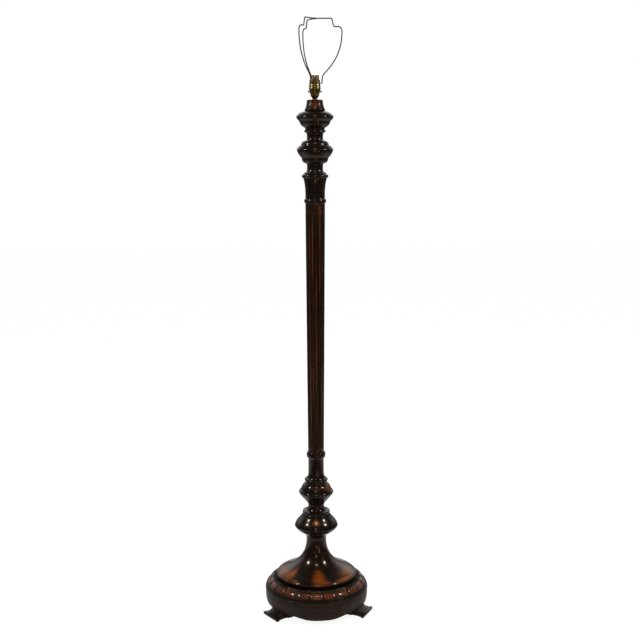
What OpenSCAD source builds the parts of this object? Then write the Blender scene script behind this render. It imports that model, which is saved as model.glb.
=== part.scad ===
// Turned and carved wooden standard lamp on three bracket feet, with a brass bayonet lampholder
// and a wire shade carrier. Millimetres, +Z up, origin on the floor under the column's axis.
// The front is -Y: one foot points back, the other two stand left and right of the front.

/* [Feet] */
// Height of the feet, floor to the pads under the plinth
foot_h = 22; // [16:0.5:30]
// How far the toe stands out beyond the plinth's side
toe_out = 15.7; // [10:0.1:32]
// Thickness of the toe at its edge
toe_t = 7; // [4:0.5:10]
// Width of the toe
toe_w = 79; // [66:1:86]
// How far the foot's neck stands in from the plinth's side
foot_neck_in = 14.3; // [10:0.1:20]
// Width of the foot's neck
foot_neck_w = 60; // [48:1:64]
// Length of the foot from its neck in to its inner end
foot_root_l = 36; // [26:1:44]
// Half width of the bracket wings that brace the foot sideways
wing_half_w = 60; // [48:1:64]
// Thickness of the wings along the radius
wing_t = 18; // [12:1:20]

/* [Plinth] */
// Radius of the plinth's side
plinth_r = 162.3; // [158:0.1:168]
// Height of the plinth's two boards, from the foot pads to the deck
plinth_h = 48; // [42:1:60]
// How far the apron hangs below the foot pads
apron_drop = 12; // [4:1:14]
// How far the apron's lower edge stands in from the plinth's side
apron_in = 14.3; // [6:0.1:17]
// Width of the rim round the recess under the deck
rim_w = 34.3; // [30:0.1:40]
// Thickness of the plinth's upper board, whose top is the deck
deck_t = 25; // [18:1:32]
// Half width of the flat pad over each foot
pad_half_w = 63; // [62:0.5:68]
// Half width at which the apron is back at its full depth
arch_half_w = 122; // [90:1:126]
// Height of the bead at the plinth's top edge
plinth_bead_h = 10; // [6:0.5:14]

/* [Gadrooned ring] */
// Number of gadroons round the ring
gadroons = 22; // [16:1:32]
// Height of the dome's seat above the deck
ring_h = 28; // [22:1:36]
// How far the gadroons rise above the dome's seat
gadroon_rise = 4; // [2:0.5:8]
// How far the foot of the gadroons stands in from the plinth's side
gadroon_in = 2.3; // [1.3:0.1:5]
// Width of the gadroons from foot to crest, seen from above
gadroon_w = 26; // [21:0.5:27]
// Height of the plain edge under the gadroons
gadroon_edge_h = 6; // [4:0.5:9]
// Belly of the gadroons beyond the straight line from head to foot
gadroon_belly = 2.2; // [1.5:0.1:5]
// Depth of the grooves between the gadroons
groove_d = 6; // [3:0.5:8]
// Half width of the grooves at the surface
groove_half_w = 8; // [4:0.5:10]
// Width of the ring from the foot of the gadroons to its inner edge
ring_w = 60; // [50:1:70]
// Turn of the ring about the column, so that a gadroon faces the viewer
gadroon_turn = 264.5; // [255:0.5:270]

/* [Dome] */
// Height of the dome and its trumpet above the seat
dome_h = 132; // [120:1:150]
// How far the dome's lip stands in from the crest of the gadroons
lip_in = 8; // [5:0.5:16]
// Height of the hollow under the lip
lip_hollow_h = 11; // [6:0.5:14]
// Depth of the hollow under the lip
lip_hollow_d = 4; // [2:0.5:8]
// Thickness of the lip
lip_t = 4.5; // [3:0.5:9]
// Height above the lip at which the dome's swell runs into the trumpet
swell_h = 16.5; // [12:0.5:22]
// Width of the dome's swell, from the lip to where it runs into the trumpet
swell_w = 32; // [24:1:38]
// Radius of the trumpet's waist
trumpet_r = 31.2; // [27:0.1:36]
// Height of the plain waist at the trumpet's head
waist_h = 6; // [3:0.5:10]

/* [Lower knop] */
// Radius of the neck under the knop
lk_neck_r = 31.8; // [28:0.1:34]
// Height of the curved underside
lk_under_h = 39; // [32:1:46]
// Radius of the sharp rim
lk_rim_r = 68.6; // [62:0.1:76]
// Height of the shoulder above the rim
lk_shoulder_h = 39; // [32:1:46]
// Radius of the ring above the shoulder
lk_ring_r = 43.2; // [38:0.1:48]
// Height of the ring above the shoulder
lk_ring_h = 9; // [6:0.5:13]
// Height of the hollow neck at the top
lk_neck_h = 19; // [14:1:26]

/* [Lower baluster] */
// Radius of the neck between the two lower knops
lb_neck_r = 25.2; // [22:0.1:28]
// Height of the underside
lb_under_h = 42; // [34:1:50]
// Radius of the knop
lb_rim_r = 54.5; // [50:0.5:60]
// Height of the rolled edge
lb_edge_h = 8; // [6:0.5:12]
// Radius of the crown above the rolled edge
lb_crown_r = 48.6; // [44:0.1:49.5]
// Height of the crown
lb_crown_h = 22; // [17:1:28]
// Radius of the narrow neck over the crown
lb_top_r = 33.8; // [30:0.1:36]
// Height of the narrow neck over the crown
lb_top_h = 4; // [2:0.5:8]

/* [Lower neck] */
// Radius of the flange
ln_flange_r = 36.5; // [33.5:0.1:40]
// Height of the flange
ln_flange_h = 10; // [7:0.5:14]
// Radius of the plain neck
ln_neck_r = 24.3; // [22:0.1:28]
// Height of the plain neck with its flare
ln_neck_h = 65; // [50:1:80]
// Height of the flare over the flange
ln_flare_h = 20; // [12:1:30]
// Radius of the bead under the shaft
ln_bead_r = 29.7; // [28.5:0.1:33]
// Height of the bead with its fillets
ln_bead_h = 26; // [20:1:32]

/* [Shaft] */
// Length of the fluted shaft
shaft_h = 771; // [500:1:1000]
// Radius of the shaft at its foot
shaft_foot_r = 24.8; // [23:0.1:27]
// Radius of the shaft at its head
shaft_head_r = 29.8; // [26:0.1:32]
// Number of flutes
flutes = 16; // [12:1:20]
// Radius of the gouge that cuts a flute
flute_r = 4.1; // [3:0.1:4.5]
// How deep a flute is cut
flute_d = 2.4; // [1:0.1:3]
// Plain length below the flutes
flute_low = 7; // [5:1:40]
// Plain length above the flutes
flute_high = 30; // [10:1:60]

/* [Collar] */
// Radius of the bead at the shaft's head
co_bead_r = 33.5; // [32:0.1:37]
// Height of the bead with its fillets
co_bead_h = 18; // [14:1:24]
// Radius of the collar's waist
co_waist_r = 29.7; // [26:0.1:32]
// Height of the hollow flare
co_flare_h = 60; // [48:1:72]
// Radius under the lip
co_flare_r = 36.4; // [33:0.1:38]
// Radius of the rolled lip
co_lip_r = 40.4; // [38.5:0.1:45]
// Height of the rolled lip and the slope above it
co_lip_h = 16; // [12:1:20]

/* [Upper baluster] */
// Radius of the neck above the collar
ub_neck_r = 24.2; // [22:0.1:28]
// Height of the neck above the collar
ub_neck_h = 27; // [20:1:34]
// Radius of the cup under the knop
ub_cup_r = 40; // [36:0.5:42]
// Height of the cup
ub_cup_h = 18; // [13:1:22]
// Radius of the knop
ub_rim_r = 54.9; // [49:0.5:60]
// Height of the knop's underside
ub_under_h = 23; // [18:1:28]
// Height of the knop's shoulder
ub_shoulder_h = 12; // [8:1:15]
// Radius at the shoulder's inner edge
ub_shoulder_r = 46.3; // [43.5:0.1:48.5]
// Radius of the crown on the shoulder
ub_crown_r = 41.8; // [38:0.1:43]
// Height of the crown on the shoulder
ub_crown_h = 17; // [12:1:21]

/* [Upper knop] */
// Radius of the neck between the two upper knops
uk_neck_r = 24.2; // [22:0.1:28]
// Height of the neck
uk_neck_h = 22; // [16:1:28]
// Radius of the small flange over the neck
uk_flange_r = 32.7; // [30:0.1:35]
// Height of the small flange
uk_flange_h = 13; // [9:1:16]
// Radius of the bowl's brim
uk_bowl_r = 46.4; // [42:0.1:49]
// Height of the bowl
uk_bowl_h = 19; // [15:1:24]
// Radius of the knop
uk_rim_r = 55.8; // [51:0.1:61]
// Height of the knop's underside
uk_under_h = 14; // [10:1:18]
// Height of the knop's rounded top
uk_top_h = 17; // [13:1:22]

/* [Cap] */
// Radius of the cap's rolled foot
cap_foot_r = 31.1; // [28:0.1:36]
// Height of the rolled foot
cap_foot_h = 6; // [4:0.5:9]
// Radius of the cap at its head
cap_head_r = 23.4; // [20:0.1:26]
// Height of the hollow flare above the foot
cap_flare_h = 27; // [20:1:36]

/* [Joints of the column] */
// Radius of the spigots between the turned pieces
spigot_r = 11; // [9:0.5:14]
// Length of the spigots
spigot_h = 16; // [10:1:17]
// Clearance round and under a spigot
spigot_gap = 0.2; // [0.1:0.05:0.5]
// Radius of the tie tube that draws the column together
tube_r = 5; // [4:0.5:6]
// Wall of the tie tube
tube_wall = 1.5; // [1:0.1:2]
// Clearance between the tube and the bored wood
tube_gap = 0.6; // [0.3:0.1:1.5]
// Radius of the washer under the deck
washer_r = 20; // [14:1:30]
// Thickness of the washer under the deck
washer_t = 2; // [1:0.5:4]
// Width across the flats of the nut under the washer
nut_af = 17; // [15:0.5:24]
// Thickness of the nut under the washer
nut_t = 6; // [4:0.5:10]
// How far the tube stands out below the nut
tube_tail = 4; // [2:1:10]

/* [Ballast and fixings] */
// Clearance between the ballast ring and the plinth's rim
ballast_gap = 23; // [18:1:38]
// Width of the cast ballast ring
ballast_w = 60; // [40:1:70]
// Thickness of the ballast ring
ballast_t = 14; // [8:1:17]
// Radius of a wood screw's shank
screw_r = 2.2; // [1.5:0.1:3]
// Radius of a wood screw's head
screw_head_r = 4.4; // [3.6:0.1:5.5]
// Length of a wood screw
screw_l = 30; // [24:1:34]
// Clearance round a screw in its hole
screw_gap = 0.15; // [0.1:0.05:0.4]
// Half spacing of a foot's two screws
foot_screw_half = 17; // [12:1:22]
// Bore radius of the cable outlet bush
outlet_r = 4; // [3:0.5:5]
// Wall of the outlet bush
outlet_wall = 2.5; // [1.5:0.5:3.5]
// Height of the cable outlet above the floor
outlet_z = 33; // [31:1:38]
// Direction of the cable outlet, counted from +X
outlet_turn = 150; // [140:1:160]

/* [Lampholder] */
// Radius of the round nut that clamps the cap
seat_nut_r = 7; // [6.8:0.1:9]
// Thickness of the round nut
seat_nut_t = 3.5; // [2:0.5:6]
// Widest radius of the lampholder's shell
shell_r = 17.7; // [16.8:0.1:20]
// Wall of the brass shell
shell_wall = 1; // [0.8:0.1:1.4]
// Height of the shell from the round nut up to its widest ring
shell_low_h = 32; // [30:0.5:36]
// Height of the shell from its widest ring up to its shoulder
shell_high_h = 11; // [9:0.5:14]
// Height of the screwed entry cup at the shell's foot
cup_h = 13; // [11:0.5:14]
// Radius of the entry cup at its foot
cup_foot_r = 8; // [7.5:0.1:9]
// Radius of the entry cup where the shell takes over
cup_head_r = 13.6; // [13:0.1:15]
// Bore radius of the bayonet barrel
socket_r = 11.2; // [11.1:0.05:11.3]
// Wall of the bayonet barrel
barrel_wall = 1.3; // [1.0:0.1:1.6]
// Height of the barrel above the shell's shoulder
barrel_h = 25; // [23:0.5:28]
// Height of the bayonet bore that guides the bulb's cap
socket_h = 12; // [10:0.5:13]
// How far the barrel reaches down inside the shell
barrel_tail = 16; // [14:0.5:18]
// Width of a bayonet slot
slot_w = 3; // [2.4:0.1:3.4]
// Depth of a bayonet slot
slot_d = 7; // [6:0.5:9]
// Radius of a contact plunger
plunger_r = 2.2; // [1.8:0.1:2.4]
// Half spacing of the contact plungers
plunger_half = 5.3; // [4.8:0.1:5.8]
// How far the plungers travel
plunger_travel = 3; // [2:0.1:3.2]
// Running clearance of the plungers and the push bar
run_gap = 0.06; // [0.03:0.01:0.09]
// Radius of the push bar
bar_r = 1.6; // [1.2:0.1:2]
// Height of the push bar above the round nut
bar_z = 20; // [18:0.5:21]
// Travel of the push bar to either side
bar_travel = 1.5; // [1:0.1:2]
// Radius of the push bar's knobs
knob_r = 3; // [2.4:0.1:3.4]
// Length of the push bar's knobs
knob_l = 2.5; // [2:0.1:4]
// Outer radius of the shade ring
shade_ring_r = 15.8; // [15.2:0.1:18]
// Height of the shade ring
shade_ring_h = 9; // [7:0.5:10]

/* [Shade carrier] */
// Radius of the carrier's wire
wire_r = 1.8; // [1:0.1:2.3]
// Thickness of the carrier's ring
carrier_ring_t = 1.3; // [1:0.1:2]
// Clearance between the loose rings and what they turn on
ring_gap = 0.3; // [0.2:0.05:0.4]
// Turn of the carrier's first arm, counted from +X
carrier_turn = -9.5; // [-60:0.5:60]
// Radius at which the arms rise from the ring
arm_foot_r = 22; // [21:0.5:26]
// Straight rise of an arm above its foot
arm_foot_h = 7; // [4:0.5:12]
// Radius of the first outward bend
flare_bend_r = 30; // [22:1:40]
// Lean of the arm at its first outward bend, from upright
flare_lean = 47; // [40:1:52]
// Radius of the arm's long bow
bow_r = 155; // [140:1:175]
// Straight rise above the bow
bow_rise = 6; // [2:0.5:12]
// Radius of the shoulder's outer bend
shoulder_bend_r = 12; // [8:0.5:16]
// Straight length of the shoulder that carries the shade
shoulder_l = 8.4; // [5:0.2:14]
// Radius of the shoulder's inner bend and of the crown's bend
small_bend_r = 4.8; // [4:0.1:7]
// Lean of the riser, from upright
riser_lean = 13; // [5:1:20]
// Straight length of the riser
riser_l = 17; // [10:0.5:24]
// Radius of the boss where the arms meet
boss_r = 4.6; // [4:0.1:7]

/* [Hidden] */
$fn = 96;

wood = [0.16, 0.075, 0.04];
carved_wood = [0.27, 0.13, 0.06];
brass = [0.62, 0.5, 0.22];
steel = [0.4, 0.4, 0.42];
dark_wire = [0.25, 0.24, 0.23];
iron = [0.2, 0.2, 0.21];
black = [0.04, 0.04, 0.04];
fibre = [0.35, 0.2, 0.12];

// Levels of the stacked pieces above the floor
apron_z = foot_h - apron_drop;
deck_z = foot_h + plinth_h;
deck_under_z = deck_z - deck_t;
seat_z = deck_z + ring_h;
lk_z = seat_z + dome_h;
lk_h = lk_under_h + lk_shoulder_h + lk_ring_h + lk_neck_h;
lb_z = lk_z + lk_h;
lb_h = lb_under_h + lb_edge_h + lb_crown_h + lb_top_h;
ln_z = lb_z + lb_h;
ln_h = ln_flange_h + ln_neck_h + ln_bead_h;
shaft_z = ln_z + ln_h;
co_z = shaft_z + shaft_h;
co_h = co_bead_h + co_flare_h + co_lip_h;
ub_z = co_z + co_h;
ub_h = ub_neck_h + ub_cup_h + ub_under_h + ub_shoulder_h + ub_crown_h;
uk_z = ub_z + ub_h;
uk_h = uk_neck_h + uk_flange_h + uk_bowl_h + uk_under_h + uk_top_h;
cap_z = uk_z + uk_h;
cap_top_z = cap_z + cap_foot_h + cap_flare_h;

// Radii of the base's pieces, all stepped in or out from the plinth's side
toe_r = plinth_r + toe_out;
foot_neck_r = plinth_r - foot_neck_in;
foot_in_r = foot_neck_r - foot_root_l;
apron_r = plinth_r - apron_in;
recess_r = plinth_r - rim_w;
gadroon_r = plinth_r - gadroon_in;
gadroon_top_r = gadroon_r - gadroon_w;
ring_in_r = gadroon_r - ring_w;
lip_r = gadroon_top_r - lip_in;
swell_r = lip_r - swell_w;
ballast_r = recess_r - ballast_gap;
ballast_in_r = ballast_r - ballast_w;

// Directions of the three feet
foot_turns = [210, 330, 90];

// Points on the outline of a turned piece, each [radius, height].
// Elliptical arc about c with half axes ab, from angle t0 to t1
function bow(c, ab, t0, t1, n = 8) =
    [for (i = [0 : n]) let (t = t0 + (t1 - t0) * i / n) [c[0] + ab[0] * cos(t), c[1] + ab[1] * sin(t)]];
// Free curve from p to q that leaves p towards a and meets q from b
function curve(p, a, b, q, n = 10) =
    [for (i = [0 : n]) let (t = i / n, u = 1 - t)
        u * u * u * p + 3 * u * u * t * a + 3 * u * t * t * b + t * t * t * q];
// Quarter round from p to q that leaves p level and meets q upright
function level_up(p, q, n = 7) =
    [for (i = [0 : n]) let (t = 90 * i / n)
        [p[0] + (q[0] - p[0]) * sin(t), p[1] + (q[1] - p[1]) * (1 - cos(t))]];
// Quarter round from p to q that leaves p upright and meets q level
function up_level(p, q, n = 7) =
    [for (i = [0 : n]) let (t = 90 * i / n)
        [p[0] + (q[0] - p[0]) * (1 - cos(t)), p[1] + (q[1] - p[1]) * sin(t)]];
// Slow curve from p to q, upright at both ends
function sway(p, q, n = 8) =
    [for (i = [0 : n]) [p[0] + (q[0] - p[0]) * (1 - cos(180 * i / n)) / 2, p[1] + (q[1] - p[1]) * i / n]];
// Half round between heights z0 and z1 that stands out from r0 to r1
function bead(r0, r1, z0, z1, n = 8) = bow([r0, (z0 + z1) / 2], [r1 - r0, (z1 - z0) / 2], -90, 90, n);

// Solid turned from an outline of height h, bored for the tie tube, with a spigot below
// and a socket on top where they are asked for
module turning(outline, h, spigot = true, socket = true) {
    difference() {
        union() {
            rotate_extrude() polygon(concat([[0, 0]], outline, [[0, h]]));
            if (spigot) translate([0, 0, -spigot_h]) cylinder(r = spigot_r, h = 2 * spigot_h);
        }
        translate([0, 0, -2 * spigot_h]) cylinder(r = tube_r + tube_gap, h = h + 3 * spigot_h);
        if (socket) translate([0, 0, h - spigot_h - spigot_gap])
            cylinder(r = spigot_r + spigot_gap, h = 2 * spigot_h);
    }
}

// ---- Base ----

// Outline of the space below the plinth at a foot, seen along the radius
module pad_space() {
    edge = [for (p = sway([foot_h, pad_half_w], [apron_z, arch_half_w])) [p[1], p[0]]];
    below = -foot_h;
    polygon(concat(
        edge, [[arch_half_w, below], [-arch_half_w, below]],
        [for (i = [len(edge) - 1 : -1 : 0]) [-edge[i][0], edge[i][1]]]
    ));
}

// Level at which the side's hollow sweep meets its upright band
side_top_z = max(deck_z - 2 * plinth_bead_h, deck_under_z + 1);

// Points on that sweep, from angle t0 to t1
function side_sweep(t0, t1, n) =
    [for (i = [0 : n]) let (t = t0 + (t1 - t0) * i / n)
        [apron_r + apron_in * sin(t), apron_z + (side_top_z - apron_z) * (1 - cos(t))]];
// Angle on the sweep at which the two boards meet
seam_turn = acos(1 - (deck_under_z - apron_z) / (side_top_z - apron_z));

// Pads over the feet, screw holes and the cable's way out, cut from both boards of the plinth
module plinth_cuts() {
    for (a = foot_turns) rotate([0, 0, a]) {
        translate([foot_in_r / 2, 0, 0]) rotate([90, 0, 90]) linear_extrude(plinth_r) pad_space();
        foot_screw_places() translate([0, 0, foot_h - 1])
            cylinder(r = screw_r + screw_gap, h = foot_sink + screw_l - foot_h);
    }
    ballast_screw_places() cylinder(r = screw_r + screw_gap, h = screw_l + 1);
    outlet_place() cylinder(r = outlet_r + outlet_wall + screw_gap, h = plinth_r);
    outlet_place() translate([0, 0, outlet_seat_r])
        cylinder(r = outlet_r + 2 * outlet_wall + screw_gap, h = plinth_r);
}

// Upper board, with the deck and the bead round its edge
module plinth() {
    bead_z = deck_z - plinth_bead_h;
    quirk = 0.7;
    outline = concat(
        [[0, deck_under_z]],
        side_sweep(seam_turn, 90, 2),
        [[plinth_r, bead_z - quirk], [plinth_r - quirk, bead_z]],
        bead(plinth_r - quirk, plinth_r + quirk, bead_z, deck_z - 1),
        [[plinth_r - quirk, deck_z], [0, deck_z]]
    );
    color(wood) difference() {
        rotate_extrude() polygon(outline);
        translate([0, 0, deck_under_z - deck_t]) cylinder(r = tube_r + tube_gap, h = 3 * deck_t);
        plinth_cuts();
    }
}

// Ring glued under the upper board, sawn into arches between its pads
module apron() {
    outline = concat([[recess_r, apron_z]], side_sweep(0, seam_turn, 7), [[recess_r, deck_under_z]]);
    color(wood) difference() {
        rotate_extrude() polygon(outline);
        plinth_cuts();
    }
}

// Radius at which the foot screws stand
foot_screw_r = (recess_r + foot_neck_r) / 2;
// Depth of a screw head's countersink in a foot
foot_sink = 5;

module foot_screw_places() {
    for (s = [-1, 1]) translate([foot_screw_r, s * foot_screw_half, 0]) children();
}

// Bracket foot, drawn pointing along +X
module foot() {
    side = concat(
        [[foot_in_r, 0], [toe_r - 1, 0], [toe_r, 1], [toe_r, toe_t - 1]],
        level_up([toe_r - 1, toe_t], [foot_neck_r, foot_h]),
        [[foot_in_r, foot_h]]
    );
    flank = up_level([foot_neck_w / 2, foot_neck_r - wing_t / 2], [toe_w / 2, toe_r - toe_t]);
    half_plan = concat([[foot_neck_w / 2, foot_in_r - 1]], flank, [[toe_w / 2, toe_r + 1]]);
    plan = concat(
        [for (p = half_plan) [p[1], p[0]]],
        [for (i = [len(half_plan) - 1 : -1 : 0]) [half_plan[i][1], -half_plan[i][0]]]
    );
    difference() {
        union() {
            intersection() {
                rotate([90, 0, 0]) translate([0, 0, -toe_w]) linear_extrude(2 * toe_w) polygon(side);
                translate([0, 0, -1]) linear_extrude(foot_h + 2) polygon(plan);
            }
            intersection() {
                difference() {
                    cylinder(r = foot_neck_r, h = foot_h);
                    translate([0, 0, -1]) cylinder(r = foot_neck_r - wing_t, h = foot_h + 2);
                }
                translate([foot_in_r, 0, 0]) rotate([90, 0, 90]) linear_extrude(toe_w) wings();
            }
        }
        foot_screw_places() {
            translate([0, 0, -1]) cylinder(r = screw_r + screw_gap, h = foot_h + 2);
            translate([0, 0, -1]) cylinder(r = screw_head_r + screw_gap, h = foot_sink + 1);
        }
    }
}

// Elevation of a foot's two wings, each a bracket with a hollow lower edge
module wings() {
    root = foot_neck_w / 2 - 1;
    tip_t = 3;
    edge = [for (p = level_up([foot_h - tip_t, wing_half_w], [toe_t / 2, root])) [p[1], p[0]]];
    half = concat([[wing_half_w, foot_h], [wing_half_w, foot_h - tip_t]], edge);
    polygon(concat(half, [for (i = [len(half) - 1 : -1 : 0]) [-half[i][0], half[i][1]]]));
}

module foot_left() { color(wood) rotate([0, 0, foot_turns[0]]) foot(); }
module foot_right() { color(wood) rotate([0, 0, foot_turns[1]]) foot(); }
module foot_back() { color(wood) rotate([0, 0, foot_turns[2]]) foot(); }

// Thickness of a screw head's rim
screw_rim = 1;

// Countersunk wood screw, head down, driven upwards from z = 0
module wood_screw() {
    point = 4;
    cylinder(r = screw_head_r, h = screw_rim);
    translate([0, 0, screw_rim]) cylinder(r1 = screw_head_r, r2 = screw_r, h = screw_head_r - screw_r);
    cylinder(r = screw_r, h = screw_l - point);
    translate([0, 0, screw_l - point]) cylinder(r1 = screw_r, r2 = 0.3, h = point);
}

module foot_screws() {
    head_h = screw_rim + screw_head_r - screw_r;
    color(steel) for (a = foot_turns) rotate([0, 0, a])
        foot_screw_places() translate([0, 0, foot_sink - head_h - screw_gap]) wood_screw();
}

// Underside of the ballast ring
ballast_z = deck_under_z - ballast_t;

module ballast_screw_places() {
    for (a = foot_turns) rotate([0, 0, a + 60])
        translate([(ballast_r + ballast_in_r) / 2, 0, ballast_z]) children();
}

// Cast ring screwed up under the deck, to steady the tall column
module ballast() {
    sink = screw_rim + screw_head_r - screw_r + screw_gap;
    color(iron) difference() {
        translate([0, 0, ballast_z]) cylinder(r = ballast_r, h = ballast_t);
        translate([0, 0, ballast_z - 1]) cylinder(r = ballast_in_r, h = ballast_t + 2);
        ballast_screw_places() {
            translate([0, 0, -1]) cylinder(r = screw_r + screw_gap, h = ballast_t + 2);
            translate([0, 0, -1]) cylinder(r = screw_head_r + screw_gap, h = sink + 1);
        }
    }
}

module ballast_screws() {
    color(steel) ballast_screw_places() wood_screw();
}

// How far from the axis the flat lies that the outlet bush's flange sits on
outlet_seat_r = plinth_r - 3;

module outlet_place() {
    rotate([0, 0, outlet_turn]) translate([0, 0, outlet_z]) rotate([0, 90, 0]) children();
}

// Bush that lines the cable's way out through the back of the plinth
module outlet_bush() {
    flange_t = 2;
    inner_end = recess_r - 1;
    color(brass) outlet_place() difference() {
        union() {
            translate([0, 0, inner_end])
                cylinder(r = outlet_r + outlet_wall, h = outlet_seat_r + flange_t - inner_end);
            translate([0, 0, outlet_seat_r]) cylinder(r = outlet_r + 2 * outlet_wall, h = flange_t);
        }
        cylinder(r = outlet_r, h = 2 * plinth_r);
    }
}

// Outline of the ring's gadrooned face, from its foot at the deck up to its crest
gadroon_foot = [gadroon_r, deck_z + gadroon_edge_h];
gadroon_head = [gadroon_top_r, seat_z + gadroon_rise];
gadroon_chord = norm(gadroon_head - gadroon_foot);
// Circle through foot and head that bellies out between them
gadroon_arc_r = (pow(gadroon_chord / 2, 2) + pow(gadroon_belly, 2)) / (2 * gadroon_belly);
gadroon_out = [gadroon_head[1] - gadroon_foot[1], gadroon_foot[0] - gadroon_head[0]] / gadroon_chord;
gadroon_c = (gadroon_foot + gadroon_head) / 2 - (gadroon_arc_r - gadroon_belly) * gadroon_out;
gadroon_from = atan2(gadroon_foot[1] - gadroon_c[1], gadroon_foot[0] - gadroon_c[0]);
gadroon_to = atan2(gadroon_head[1] - gadroon_c[1], gadroon_head[0] - gadroon_c[0]);
// Lean of the straight line from foot to head, counted from upright
gadroon_lean = atan2(gadroon_foot[0] - gadroon_head[0], gadroon_head[1] - gadroon_foot[1]);

// Groove cut along the straight line from foot to head, its sides steep below and easy above,
// so that the wood left between two grooves is a cushion; it starts just above the foot
module groove_cut() {
    start = 0.8;
    half = [
        [-groove_d, 0.4], [-groove_d * 0.25, groove_half_w * 0.32], [gadroon_belly + 0.6, groove_half_w]
    ];
    translate([0, 0, start]) linear_extrude(1.6 * gadroon_chord)
        polygon(concat(half, [for (i = [len(half) - 1 : -1 : 0]) [half[i][0], -half[i][1]]]));
}

module gadroon_ring() {
    edge_r = gadroon_r + 1;
    outline = concat(
        [[ring_in_r, deck_z], [edge_r, deck_z]],
        [[edge_r, gadroon_foot[1] - 2], [gadroon_r - 1, gadroon_foot[1] - 0.5]],
        bow(gadroon_c, [gadroon_arc_r, gadroon_arc_r], gadroon_from, gadroon_to, 5),
        bow([gadroon_top_r, seat_z], [gadroon_rise + 1, gadroon_rise], 120, 180, 2),
        [[ring_in_r, seat_z]]
    );
    color(carved_wood) difference() {
        rotate_extrude() polygon(outline);
        for (i = [0 : gadroons - 1]) rotate([0, 0, gadroon_turn + (i + 0.5) * 360 / gadroons])
            translate([gadroon_foot[0], 0, gadroon_foot[1]]) rotate([0, -gadroon_lean, 0]) groove_cut();
    }
}

// ---- Column, from the base up ----

module base_dome() {
    lip_z = lip_hollow_h;
    top_z = lip_z + lip_t;
    hollow_r = lip_r - lip_hollow_d;
    swell = [swell_r, top_z + swell_h];
    // The trumpet leaves the swell on the swell's own slope
    run = [0.9, -0.42];
    outline = concat(
        curve([hollow_r, 0], [hollow_r - 1, lip_z / 2], [hollow_r, lip_z], [lip_r - 1.5, lip_z], 5),
        bead(lip_r - 1.5, lip_r, lip_z, top_z, 5),
        curve([lip_r - 1.8, top_z], [lip_r - 3.5, top_z + swell_h * 0.24], swell + 16 * run, swell, 8),
        curve(swell, swell - 40 * run, [trumpet_r, dome_h * 0.58], [trumpet_r, dome_h - waist_h], 16),
        [[lk_neck_r, dome_h]]
    );
    color(wood) translate([0, 0, seat_z]) difference() {
        union() {
            turning(outline, dome_h, spigot = false);
            translate([0, 0, -ring_h]) cylinder(r = ring_in_r - 2 * spigot_gap, h = ring_h + 1);
        }
        translate([0, 0, -ring_h - 1]) cylinder(r = tube_r + tube_gap, h = 2 * ring_h);
    }
}

module lower_knop() {
    rim_z = lk_under_h;
    ring_z = rim_z + lk_shoulder_h;
    neck_z = ring_z + lk_ring_h;
    outline = concat(
        curve([lk_neck_r, 0], [lk_neck_r + 1.2, rim_z * 0.36],
            [lk_rim_r - 6.4, rim_z * 0.51], [lk_rim_r, rim_z], 12),
        curve([lk_rim_r - 0.6, rim_z + 1], [lk_rim_r - 5.4, rim_z + lk_shoulder_h * 0.46],
            [lk_ring_r + 6.8, ring_z - lk_shoulder_h * 0.42], [lk_ring_r - 0.6, ring_z], 12),
        bead(lk_ring_r - 1.5, lk_ring_r, ring_z, neck_z, 6),
        level_up([lk_ring_r - 6.5, neck_z + 0.5], [lb_neck_r, lk_h - 4], 7)
    );
    color(wood) translate([0, 0, lk_z]) turning(concat(outline, [[lb_neck_r, lk_h]]), lk_h);
}

module lower_baluster() {
    rim_z = lb_under_h;
    crown_z = rim_z + lb_edge_h;
    outline = concat(
        curve([lb_neck_r, 0], [lb_neck_r + 0.8, rim_z * 0.2],
            [lb_rim_r - 4.5, rim_z * 0.7], [lb_rim_r, rim_z - 1], 12),
        [[lb_rim_r, rim_z]],
        up_level([lb_rim_r, rim_z], [lb_crown_r, crown_z - 1.5], 5),
        curve([lb_crown_r, crown_z], [lb_crown_r - 2.5, crown_z + lb_crown_h * 0.34],
            [lb_top_r + 8, crown_z + lb_crown_h * 0.8], [lb_top_r, crown_z + lb_crown_h], 9)
    );
    color(wood) translate([0, 0, lb_z]) turning(concat(outline, [[lb_top_r, lb_h]]), lb_h);
}

module lower_neck() {
    flange_in_r = ln_flange_r - 4.5;
    bead_z = ln_flange_h + ln_neck_h;
    fillet = 2;
    outline = concat(
        [[lb_top_r, 0], [lb_top_r, 1]],
        bead(flange_in_r, ln_flange_r, 1, ln_flange_h, 7),
        level_up([flange_in_r, ln_flange_h], [ln_neck_r + 0.3, ln_flange_h + ln_flare_h], 7),
        [[ln_neck_r, bead_z], [ln_neck_r + 0.8, bead_z + fillet]],
        bead(ln_neck_r + 1.4, ln_bead_r, bead_z + fillet, bead_z + ln_bead_h - 2 * fillet, 9),
        [[shaft_foot_r, bead_z + ln_bead_h - 1.5 * fillet], [shaft_foot_r, ln_h]]
    );
    color(wood) translate([0, 0, ln_z]) turning(outline, ln_h);
}

// Gouge cut of one flute: a round-ended rod that lies in the shaft's tapered side
module flute_cut() {
    low = shaft_foot_r + flute_r - flute_d;
    lean = atan2(shaft_head_r - shaft_foot_r, shaft_h);
    from = flute_low + flute_r;
    run = shaft_h - flute_low - flute_high - 2 * flute_r;
    translate([low + from * tan(lean), 0, from]) rotate([0, lean, 0]) {
        cylinder(r = flute_r, h = run, $fn = 32);
        sphere(r = flute_r, $fn = 32);
        translate([0, 0, run]) sphere(r = flute_r, $fn = 32);
    }
}

module fluted_shaft() {
    color(wood) translate([0, 0, shaft_z]) difference() {
        turning([[shaft_foot_r, 0], [shaft_head_r, shaft_h]], shaft_h);
        for (i = [0 : flutes - 1]) rotate([0, 0, (i + 0.5) * 360 / flutes]) flute_cut();
    }
}

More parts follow.
